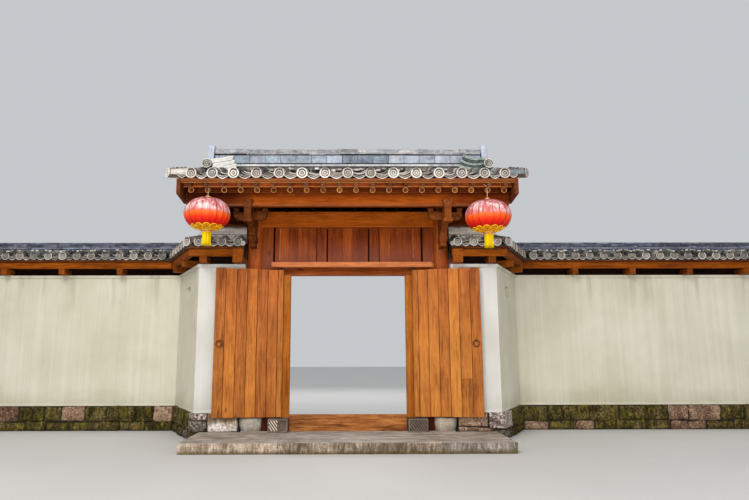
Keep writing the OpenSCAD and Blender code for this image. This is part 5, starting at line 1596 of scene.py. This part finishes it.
# outline, how far it stands out, tone, material; 0 mossy, 1 pale, 3 brown, 4 speckled, 5 dark
STONES = {
    1: [
        ([(0.063, 0.240), (0.528, 0.232), (0.536, 0.446), (0.063, 0.446)], 0.030, 0.60, 3),
        ([(0.063, 0.157), (0.600, 0.152), (0.618, 0.196), (0.063, 0.232)], 0.026, 0.58, 3),
        ([(0.063, 0.0), (0.330, 0.0), (0.330, 0.150), (0.063, 0.150)], 0.026, 0.35, 0),
        ([(0.338, 0.0), (0.640, 0.0), (0.610, 0.146), (0.338, 0.150)], 0.026, 0.40, 0),
        ([(0.566, 0.208), (1.372, 0.168), (1.350, 0.446), (0.556, 0.446)], 0.044, 0.50, 4),
        ([(0.650, 0.0), (0.905, 0.0), (0.890, 0.172), (0.628, 0.190)], 0.034, 0.50, 5),
        ([(0.915, 0.0), (1.180, 0.0), (1.165, 0.162), (0.900, 0.178)], 0.040, 0.30, 5),
        ([(1.190, 0.0), (1.420, 0.0), (1.385, 0.155), (1.178, 0.160)], 0.036, 0.45, 0),
        ([(1.386, 0.165), (1.960, 0.150), (1.950, 0.446), (1.364, 0.446)], 0.055, 0.55, 0),
        ([(1.432, 0.0), (1.900, 0.0), (1.930, 0.140), (1.400, 0.155)], 0.050, 0.38, 0),
        ([(1.972, 0.130), (2.425, 0.120), (2.425, 0.446), (1.962, 0.446)], 0.060, 0.50, 0),
        ([(1.912, 0.0), (2.425, 0.0), (2.425, 0.112), (1.944, 0.124)], 0.050, 0.34, 0),
    ],
    -1: [
        ([(0.063, 0.157), (0.534, 0.154), (0.542, 0.446), (0.063, 0.446)], 0.030, 0.66, 1),
        ([(0.556, 0.340), (0.990, 0.350), (0.975, 0.446), (0.560, 0.446)], 0.030, 0.60, 4),
        ([(0.550, 0.152), (1.020, 0.165), (1.000, 0.340), (0.552, 0.330)], 0.034, 0.55, 5),
        ([(0.063, 0.0), (0.480, 0.0), (0.480, 0.150), (0.063, 0.150)], 0.026, 0.35, 0),
        ([(0.488, 0.0), (0.980, 0.0), (1.020, 0.155), (0.488, 0.145)], 0.032, 0.35, 0),
        ([(1.032, 0.175), (1.520, 0.150), (1.500, 0.446), (0.990, 0.446)], 0.050, 0.50, 0),
        ([(0.992, 0.0), (1.400, 0.0), (1.420, 0.150), (1.032, 0.165)], 0.040, 0.30, 5),
        ([(1.532, 0.160), (2.020, 0.180), (2.000, 0.446), (1.512, 0.446)], 0.055, 0.60, 0),
        ([(1.412, 0.0), (1.950, 0.0), (2.000, 0.168), (1.432, 0.142)], 0.046, 0.40, 0),
        ([(2.032, 0.190), (2.425, 0.150), (2.425, 0.446), (2.012, 0.446)], 0.055, 0.45, 0),
        ([(1.962, 0.0), (2.425, 0.0), (2.425, 0.140), (2.012, 0.178)], 0.045, 0.35, 0),
    ],
}


def plinths():
    B = Build()
    rng = random.Random(52)
    for side in (-1, 1):
        fl = side < 0
        for k, (quad, out, tone, mt) in enumerate(STONES[side]):
            stone_quad(B, quad, -out, 0.10, 0.040 if mt in (0, 5) else 0.016, 0.024 if mt in (0, 5) else 0.009, 7.0, tone, mt, lambda p, side=side: bent(side, p[0], p[1], p[2]), k * 1.7 + side, fl, 0.014 if mt in (0, 4, 5) else 0.004)
        # stones that lean against the limewash above the splay's plinth
        for k, (s0, s1, z1) in enumerate(((1.50, 1.86, 0.462), (1.87, 2.22, 0.474), (2.23, 2.42, 0.464))):
            stone_quad(B, [(s0, 0.40), (s1 - 0.008, 0.40), (s1 - 0.03, z1), (s0 + 0.03, z1 - 0.02)], -0.062, -0.012, 0.018, 0.009, 9.0, 0.5, 0, lambda p, side=side: bent(side, p[0], p[1], p[2]), 31 + k * 2.1 + side, fl)
        for i in range(3):
            # dark mortar core
            v = []
            for z in (0.0, 0.445):
                for u, e in ((-0.010, 0), (-0.010, 1), (WALL_T + 0.010, 1), (WALL_T + 0.010, 0)):
                    s = span(i, u)[e]
                    if i == 0 and e == 0:
                        s = max(s, 0.0635)
                    if i == 2 and e == 1:
                        s -= 0.004
                    v.append(wall_point(side, i, s, u, z))
            B.add(v, BOX_F, 0.4, 2, flip=fl)
            for face in (0, 1):
                if i < 2 and face == 0:
                    continue
                u0, u1 = ((-0.028, 0.10) if face == 0 else (WALL_T - 0.10, WALL_T + 0.028))
                uo = -0.028 if face == 0 else WALL_T + 0.028
                a, b = span(i, uo)
                if i == 0:
                    a = 0.063
                place = lambda p, side=side, i=i: wall_point(side, i, p[0], p[1], max(p[2], 0.0))
                rows = [(0.0, 0.135), (0.135, 0.285), (0.285, 0.446)]
                if i == 2 and face == 0:
                    rows = [(0.0, 0.165), (0.165, 0.446)]
                for (z0, z1) in rows:
                    s = a
                    while s < b - 0.02:
                        w = rng.uniform(0.28, 0.62)
                        e = s + w if s + w < b - 0.22 else b
                        j0, j1 = z0 + (0 if z0 == 0 else rng.uniform(-0.012, 0.012)), z1 + (0 if z1 > 0.44 else rng.uniform(-0.012, 0.012))
                        lean = rng.uniform(-0.02, 0.02)
                        if face == 0:
                            quad = [(s + 0.006, j0 + 0.005), (e - 0.006, j0 + 0.005 - lean * 0.3), (e - 0.006, j1 - 0.005), (s + 0.006 + max(0, lean), j1 - 0.005)]
                            stone_quad(B, quad, u0 - rng.uniform(0.0, 0.03), u1, 0.038, 0.022, 7.0, rng.uniform(0.25, 0.72), 0 if rng.random() < 0.8 else 3, place, rng.random() * 9, fl, 0.012)
                        else:
                            rough_block(B, (s + 0.004, u0, j0 + 0.004), (e - 0.004, u1, j1 - 0.004), (max(3, int(w / 0.07)), 1, 3), 0.022, 0.010, 9.0, rng.uniform(0.25, 0.72), 0, place, rng.random() * 9, fl)
                        s = e
            if i == 2:
                # stones of the cut end
                place = lambda p, side=side: Vector((side * p[0], p[1], p[2]))
                for (z0, z1) in ((0.0, 0.22), (0.22, 0.446)):
                    for (y0, y1) in ((1.450, 1.540), (1.544, 1.612)):
                        rough_block(B, (7.90, y0, z0 + 0.003), (7.998, y1, z1 - 0.003), (1, 2, 3), 0.014, 0.004, 9.0, rng.uniform(0.3, 0.6), 0, place, rng.random() * 9, fl)
    return B.make("plinth_stones", [M["rubble"], M["rubble_pale"], M["mortar"], M["rubble_brown"], M["rubble_pink"], M["rubble_dark"]], replaces=["stone_plinths"])


def slabs():
    B = Build()
    xs = [-2.410, -1.000, 1.360, 2.410]
    tones = [0.50, 0.50, 0.50]
    for k in range(3):
        rough_block(B, (xs[k] + 0.0008, -1.470, 0.0), (xs[k + 1] - 0.0008, -0.190, 0.155), (int((xs[k + 1] - xs[k]) / 0.075), 14, 4), 0.006, 0.0042, 4.0, tones[k], (2, 0, 3)[k], lambda p: Vector((p[0], p[1], max(p[2], 0.0))), k * 3.1, False, 1)
    return B.make("step_slab_stones", [M["slab"], M["slab_top"], M["slab_pink"], M["slab_grey"]], replaces=["front_step_slab"])


def floor_stones():
    B = Build()
    rng = random.Random(62)
    xs = [-1.720, -0.86, 0.0, 0.86, 1.720]
    ys = [-0.190, 0.35, 0.900]
    for i in range(4):
        for j in range(2):
            rough_block(B, (xs[i] + 0.001, ys[j] + 0.001, 0.0), (xs[i + 1] - 0.001, ys[j + 1] - 0.001, 0.155), (8, 6, 2), 0.008, 0.002, 5.0, rng.uniform(0.35, 0.6), 0, same, i * 2.3 + j, False, 1)
    return B.make("floor_stones", [M["slab"], M["slab_top"]], replaces=["gate_floor_slab"])


def pivot_blocks():
    B = Build()
    for s in (-1, 1):
        place = same if s > 0 else mirror_x
        # four corners around the socket keep it open
        x0, x1, y0, y1 = 0.975, 1.295, -0.262, 0.070
        rough_block(B, (x0, y0, 0.155), (x1, y1, 0.336), (8, 8, 4), 0.010, 0.003, 9.0, 0.44 if s > 0 else 0.56, 0, place, 3.0 + s, s < 0)
        cx, cy, r = PIVOT[0], PIVOT[1], 0.02205
        n = 32
        outer, inner = [], []
        for k in range(n):
            a = 2 * math.pi * k / n
            inner.append((cx + r * math.cos(a), cy + r * math.sin(a)))
            dx, dy = math.cos(a), math.sin(a)
            t = min(((x1 - cx) / dx) if dx > 1e-9 else 1e9, ((x0 - cx) / dx) if dx < -1e-9 else 1e9, ((y1 - cy) / dy) if dy > 1e-9 else 1e9, ((y0 - cy) / dy) if dy < -1e-9 else 1e9)
            outer.append((cx + dx * t, cy + dy * t))
        corner = [(x0, y0), (x1, y0), (x1, y1), (x0, y1)]
        for c in corner:
            k = min(range(n), key=lambda q: (outer[q][0] - c[0]) ** 2 + (outer[q][1] - c[1]) ** 2)
            outer[k] = c
        e = 0.004
        def shrink(p, q):
            return (min(max(p[0], x0 + q), x1 - q), min(max(p[1], y0 + q), y1 - q))
        rings = [([(p, 0.330) for p in outer]), ([(p, 0.366) for p in outer]), ([(shrink(p, e), 0.370) for p in outer]), ([(p, 0.370) for p in inner]), ([(p, 0.337) for p in inner])]
        verts = [place(Vector((p[0], p[1], z))) for ring_ in rings for p, z in ring_]
        faces = [(q * n + k, q * n + (k + 1) % n, (q + 1) * n + (k + 1) % n, (q + 1) * n + k) for q in range(4) for k in range(n)]
        B.add(verts, faces, 0.44 if s > 0 else 0.56, 0, False, flip=s < 0)
    for s in (-1, 1):
        place = same if s > 0 else mirror_x
        xa, xb, za, zb = 0.984, 1.287, 0.168, 0.352
        mid = 0.5 * (xa + xb)

        def groove(x0, z0, x1, z1, w, tone):
            d = Vector((x1 - x0, 0, z1 - z0))
            if d.length < 0.02:
                return
            n = Vector((-d.z, 0, d.x)).normalized() * w / 2
            q = [Vector((x0, 0, z0)) - n, Vector((x1, 0, z1)) - n, Vector((x1, 0, z1)) + n, Vector((x0, 0, z0)) + n]
            prism(B, [(v.x, v.z) for v in q], 0.2605, 0.2655, lambda a, b, h: place(Vector((a, -h, b))), tone, 1, flip=(s > 0))
        for (a, b) in (((xa, za), (xb, za)), ((xb, za), (xb, zb)), ((xb, zb), (xa, zb)), ((xa, zb), (xa, za))):
            groove(a[0], a[1], b[0], b[1], 0.006, 0.35)
        # parallel chisel strokes over the outer half of one block, fainter on the other
        run = (zb - za - 0.02) / math.tan(math.radians(55))
        for k in range(-5, 8):
            top = (mid if s < 0 else xa) + 0.044 * k
            lo, hi = (mid + 0.004, xb - 0.010) if s < 0 else (xa + 0.010, xb - 0.010)
            # strokes fall towards the middle of the gate on the left block
            x0, z0, x1, z1 = top + (run if s < 0 else 0.0), zb - 0.010, top + (0.0 if s < 0 else run), za + 0.010
            t0, t1 = 0.0, 1.0
            dx = x1 - x0
            for bound, keep in ((lo, 1), (hi, -1)):
                f0, f1 = (x0 - bound) * keep, (x1 - bound) * keep
                if f0 < 0 and f1 < 0:
                    t0 = t1 = 0.0
                elif f0 < 0:
                    t0 = max(t0, f0 / (f0 - f1))
                elif f1 < 0:
                    t1 = min(t1, f0 / (f0 - f1))
            if t1 - t0 > 0.15:
                groove(x0 + dx * t0, z0 + (z1 - z0) * t0, x0 + dx * t1, z0 + (z1 - z0) * t1, 0.013 if s < 0 else 0.006, 1.0 if s < 0 else 0.2)
    return B.make("pivot_blocks", [M["block"], M["chisel"]], replaces=["pivot_stones"])


def column_drums():
    B = Build()
    prof = [(0.0, 0.156), (0.160, 0.156)]
    for k in range(17):
        t = k / 16
        prof.append((0.166 + 0.039 * math.sin(math.pi / 2 * min(1.0, t * 1.15)) + 0.0012 * math.sin(31 * t), 0.162 + 0.184 * t))
    prof += [(0.2035, 0.353), (0.200, 0.362), (0.191, 0.369), (0.178, 0.372), (0.0, 0.372)]
    for s in (-1, 1):
        revolve(B, prof, (s * COL_X, 0, 0), (0, 0, 1), 44, 0.62 if s > 0 else 0.5, 1 if s > 0 else 0)
    return B.make("column_drums", [M["drum"], M["drum_warm"]], replaces=["column_bases"])


# ----------------------------------------------------------------- lanterns


def lantern(side):
    nm = "right" if side > 0 else "left"
    cx, cy, cz = side * LAN_X, LAN_Y, LAN_Z[nm]
    body = nm + "_lamp"
    H = LAN_H / 2
    ribs = 20
    B = Build()

    def surf(lat, lon, lift=0.0):
        """A point of the cloth; it dips a little between the ribs."""
        r = (LAN_R - 0.002) * max(0.0, math.cos(lat)) ** 0.9
        dip = abs(math.sin(lon * ribs / 2))
        r = r * (1 - 0.030 * dip ** 0.8) + lift
        return Vector((cx + math.cos(lon) * r, cy + math.sin(lon) * r, cz + (H - 0.001) * math.sin(lat)))

    rows, cols = 26, ribs * 7
    verts, tones = [], []
    for i in range(rows + 1):
        lat = math.radians(-78 + 158 * i / rows)
        for j in range(cols):
            verts.append(surf(lat, 2 * math.pi * j / cols))
            tones.append(min(1.0, max(0.0, 0.5 + 0.5 * math.sin(lat) / math.sin(math.radians(80)))))
    faces = [(i * cols + j, i * cols + (j + 1) % cols, (i + 1) * cols + (j + 1) % cols, (i + 1) * cols + j) for i in range(rows) for j in range(cols)]
    B.add(verts, faces, tones, 0, True)
    # piping on every fourth rib, wire ribs on the rest
    for k in range(ribs):
        lon = 2 * math.pi * k / ribs
        pts = [surf(math.radians(-77 + 156 * q / 22), lon, 0.0005) for q in range(23)]
        tube(B, pts, 0.0034 if k % 4 == 1 else (0.0024 if k % 2 else 0.0018), 5, 0.2 if k % 4 == 1 else 0.8, 1)
    # top cap, closed inside
    zt = cz + H
    revolve(B, [(0.075, -0.016), (0.062, -0.005), (0.050, 0.000), (0.046, 0.004), (0.043, 0.016), (0.030, 0.024), (0.0, 0.026)], (cx, cy, zt), (0, 0, 1), 28, 0.6, 2)
    # lower ring
    zb = cz - H
    revolve(B, [(0.0, -0.004), (0.068, -0.006), (0.074, 0.0), (0.076, 0.012), (0.070, 0.018), (0.080, 0.022)], (cx, cy, zb), (0, 0, 1), 32, 0.6, 2)
    # gold lace: scallops with loops round the lower part
    petals = 12
    rng = random.Random(77 + side)
    for k in range(petals):
        c = 2 * math.pi * (k + 0.35) / petals
        w = math.pi / petals

        def on(x, y, lift=0.0035):
            return surf(math.radians(-62 + 15 * y), c + w * x, lift)

        for s_, hgt, rad in ((0.94, 1.00, 0.0068), (0.60, 0.66, 0.0030)):
            pts = [on(s_ * math.cos(math.pi * q / 14), hgt * math.sin(math.pi * q / 14) ** 0.8) for q in range(15)]
            tube(B, pts, rad, 5, rng.uniform(0.55, 0.95), 3)
        ring = [on(0.24 * math.cos(2 * math.pi * q / 12), 0.26 + 0.20 * math.sin(2 * math.pi * q / 12)) for q in range(12)]
        tube(B, ring, 0.0036, 5, 0.7, 3, closed=True)
        for sx in (-1, 1):
            pts = [on(sx * (0.90 - 0.45 * math.sin(math.pi * q / 8)), -0.05 + 0.55 * q / 8) for q in range(9)]
            tube(B, pts, 0.0030, 5, 0.5, 3)
        # second ring of curls towards the neck
        for (x, y, a_, b_, rad) in ((-0.5, -0.34, 0.30, 0.22, 0.0042), (0.5, -0.34, 0.30, 0.22, 0.0042), (0.0, -0.74, 0.40, 0.20, 0.0042)):
            ring = [on(x + a_ * math.cos(2 * math.pi * q / 10), y + b_ * math.sin(2 * math.pi * q / 10)) for q in range(10)]
            tube(B, ring, rad, 5, rng.uniform(0.3, 0.9), 3, closed=True)
        # small gold dots scattered between them
        for q in range(3):
            x, y = rng.uniform(-0.9, 0.9), rng.uniform(-0.9, 0.0)
            a_ = on(x - 0.06, y, 0.003)
            b_ = on(x + 0.06, y + 0.03, 0.003)
            tube(B, [a_, a_.lerp(b_, 0.5), b_], [0.003, 0.005, 0.003], 5, rng.uniform(0.5, 1.0), 3)
    # hem round the neck
    for lat_, rad in ((-75, 0.0046), (-77, 0.0046)):
        ring = [surf(math.radians(lat_), 2 * math.pi * q / 96, 0.002) for q in range(96)]
        tube(B, ring, rad, 6, 0.6, 3, closed=True)
    B.make(nm + "_lantern_shade", [M["satin"], M["rib"], M["collar"], M["gold"]], body=body, replaces=[nm + "_lantern"])
    # wire with its eye
    B = Build()
    eye = [Vector((cx + 0.0055 * math.cos(2 * math.pi * q / 16), cy, HOOK_Z + 0.0055 * math.sin(2 * math.pi * q / 16))) for q in range(16)]
    tube(B, eye, 0.0024, 8, 0.5, 0, closed=True)
    pts = [Vector((cx, cy, cz + H + 0.014)), Vector((cx, cy, cz + H + 0.03)), Vector((cx + 0.0006, cy, HOOK_Z - 0.06)), Vector((cx, cy, HOOK_Z - 0.02)), Vector((cx, cy, HOOK_Z - 0.0055))]
    tube(B, pts, 0.0042, 8, 0.7, 0)
    for q in range(5):
        z = HOOK_Z - 0.012 - 0.0055 * q
        ring = [Vector((cx + 0.0042 * math.cos(2 * math.pi * k / 10), cy + 0.0042 * math.sin(2 * math.pi * k / 10), z + 0.0012 * k / 10)) for k in range(10)]
        tube(B, ring, 0.0016, 5, 0.5, 0, closed=True)
    B.make(nm + "_lantern_wire_twist", [M["twine"]], body=body, replaces=[nm + "_lantern_wire"])
    # tassel of loose threads under a wrapped head
    B = Build()
    rng = random.Random(300 + side)
    z1 = cz - H - 0.006
    revolve(B, [(0.072, 0.0), (0.075, -0.006), (0.075, -0.020), (0.071, -0.026)][::-1], (cx, cy, z1), (0, 0, 1), 32, 0.25, 1)
    revolve(B, [(0.066, -0.018), (0.064, -0.20), (0.0, -0.205)][::-1], (cx, cy, z1), (0, 0, 1), 32, 0.15, 0)
    for layer, (rad, count) in enumerate(((0.069, 74), (0.062, 58))):
        for k in range(count):
            a = 2 * math.pi * (k + rng.uniform(-0.3, 0.3)) / count
            L = 0.235 - rng.uniform(0.0, 0.016) - 0.01 * layer
            sway = rng.uniform(-0.05, 0.05)
            pts = []
            for q in range(6):
                f = q / 5
                rr = rad - 0.004 * math.sin(math.pi * f) + rng.uniform(-0.0015, 0.0015)
                aa = a + sway * f * f + 0.01 * math.sin(6 * f + k)
                pts.append(Vector((cx + rr * math.cos(aa), cy + rr * math.sin(aa), z1 - 0.012 - (L - 0.012) * f)))
            tube(B, pts, [0.0034, 0.0036, 0.0036, 0.0034, 0.0032, 0.0022], 4, rng.uniform(0.35, 1.0), 0)
    B.make(nm + "_tassel_threads", [M["yarn"], M["collar"]], body=body, replaces=[nm + "_lantern_tassel"])


# ---------------------------------------------------------------- assembling

gate_tiles()
verge()
ridge()
ridge_ends()
corner_stacks()
coping_fields()
coping_ridge()
rafters()
fly_rafters()
roof_deck()
stop_boards()
fascia()
transom()
side_panel()
coping_timber()
leaf(1)
leaf(-1)
plinths()
slabs()
floor_stones()
pivot_blocks()
column_drums()
lantern(1)
lantern(-1)

# The left bracket takes the darker bracket wood on its upper faces and a low tone throughout: painted shade. The eased
# edges of all brackets take the pale edge wood: painted highlight.
softened("brackets", [M["carve_y"], M["carve_z"], M["carve_x"], M["carve_edge"], M["carve_left"]], edge=3, width=0.012, segments=3, pick=lambda c, n: 2 if (0.555 < abs(c.y) < 0.655 and 3.55 < c.z < 3.77 and abs(abs(c.x) - COL_X) > 0.056) else (1 if c.z < 3.50 else (4 if c.x < 0 else 0)), tones=lambda c: 0.50 if c.x > 0 else 0.14)
softened("purlins", [M["purlin_x"], M["bead_dull"]], edge=1, width=0.009, tones=lambda c: 0.50)
softened("bargeboards", [M["barge_x"], M["barge_edge"]], width=0.005, tones=lambda c: 0.5, pick=lambda c, n: 1 if abs(n.y) > 0.8 else 0)
# the tie beam's eased edges take the brighter bead wood: painted highlight
softened("tie_beam", [M["beam_x"], M["bead_x"]], edge=1, width=0.013, tones=lambda c: 0.55)
softened("pivot_rail", [M["light_x"]], width=0.006, tones=lambda c: 0.6)
softened("door_head", [M["head_x"], M["light_x"]], edge=1, width=0.006, tones=lambda c: 0.5)
softened("door_jambs", [M["jamb_z"]], width=0.005, tones=lambda c: 0.6)
softened("threshold", [M["sill"]], width=0.006, tones=lambda c: 0.5)
softened("king_posts", [M["frame_z"]], width=0.005, tones=lambda c: 0.5)
for n_ in ("splay_walls", "side_walls"):
    softened(n_, [M["plaster"]], width=0.006)
softened("wing_piers", [M["plaster_white"]], width=0.006)
paint("columns", M["column"])
B = Build()
for s, tip in ((1, Vector((2.140, -1.120, 4.030))), (-1, Vector((-2.162, -1.120, 4.033)))):
    foot = Vector((s * LAN_X, LAN_Y - 0.004, HOOK_Z + 0.012))
    for k in range(3):
        o = Vector((0.004 * (k - 1), -0.003 * k, 0.002 * k))
        pts = [foot + o, foot.lerp(tip, 0.35) + o * 1.5 + Vector((s * 0.004, 0, 0.002)), foot.lerp(tip, 0.7) + o, tip + o * 0.5]
        tube(B, pts, 0.0024, 6, 0.4 + 0.2 * k, 0)
B.make("hook_twine_tails", [M["twine"]])

for n_ in ("lantern_hooks", "left_ring_staple", "right_ring_staple", "left_ring_pull", "right_ring_pull"):
    paint(n_, M["iron"])

# ------------------------------------------------------------ floor and light

fm = Nodes("pale_floor")
fv = fm.vec((1, 1, 1))
fm.finish(fm.ramp(fm.noise(fv, 0.6, 4.0, 0.5), [(0.3, (0.62, 0.61, 0.59)), (0.7, (0.66, 0.65, 0.63))]), 0.9)
fb = Build()
N_ = 24
for iy in range(N_ + 1):
    for ix in range(N_ + 1):
        fb.v.append((-60 + 120 * ix / N_, -60 + 120 * iy / N_, 0.0))
        fb.t.append(0.5)
for iy in range(N_):
    for ix in range(N_):
        k = iy * (N_ + 1) + ix
        fb.f.append([k, k + 1, k + N_ + 2, k + N_ + 1])
        fb.m.append(0)
        fb.s.append(False)
me = bpy.data.meshes.new("floor")
me.from_pydata(fb.v, [], fb.f)
me.materials.append(fm.mat)
floor = bpy.data.objects.new("floor", me)
bpy.context.scene.collection.objects.link(floor)

bpy.context.scene.view_settings.view_transform = "Standard"
world = bpy.data.worlds.new("studio")
bpy.context.scene.world = world
world.use_nodes = True
bg = world.node_tree.nodes["Background"]
bg.inputs[0].default_value = (0.93, 0.96, 1.0, 1)
bg.inputs[1].default_value = 0.60


def area(name, pos, target, size, power, color=(1, 1, 1)):
    d = bpy.data.lights.new(name, "AREA")
    d.energy, d.size, d.color = power, size, color
    o = bpy.data.objects.new(name, d)
    o.location = pos
    o.rotation_euler = (Vector(target) - Vector(pos)).to_track_quat("-Z", "Y").to_euler()
    bpy.context.scene.collection.objects.link(o)
    return o


area("key", (-4.5, -13.0, 11.0), (0, 0, 2.2), 6.0, 1350, (1.0, 0.97, 0.92))
area("fill", (9.0, -12.0, 6.5), (0, 0, 2.0), 8.0, 300, (1.0, 0.98, 0.95))
bounce = area("ground_bounce", (0.0, -8.5, 0.5), (0, 0, 3.6), 7.0, 450, (1.0, 0.97, 0.93))
unlit = bpy.data.collections.new("unlit_by_bounce")
bounce.light_linking.receiver_collection = unlit
unlit.objects.link(floor)
unlit.collection_objects[0].light_linking.link_state = "EXCLUDE"
area("back", (0.0, 12.0, 9.0), (0, 0, 2.5), 9.0, 500)
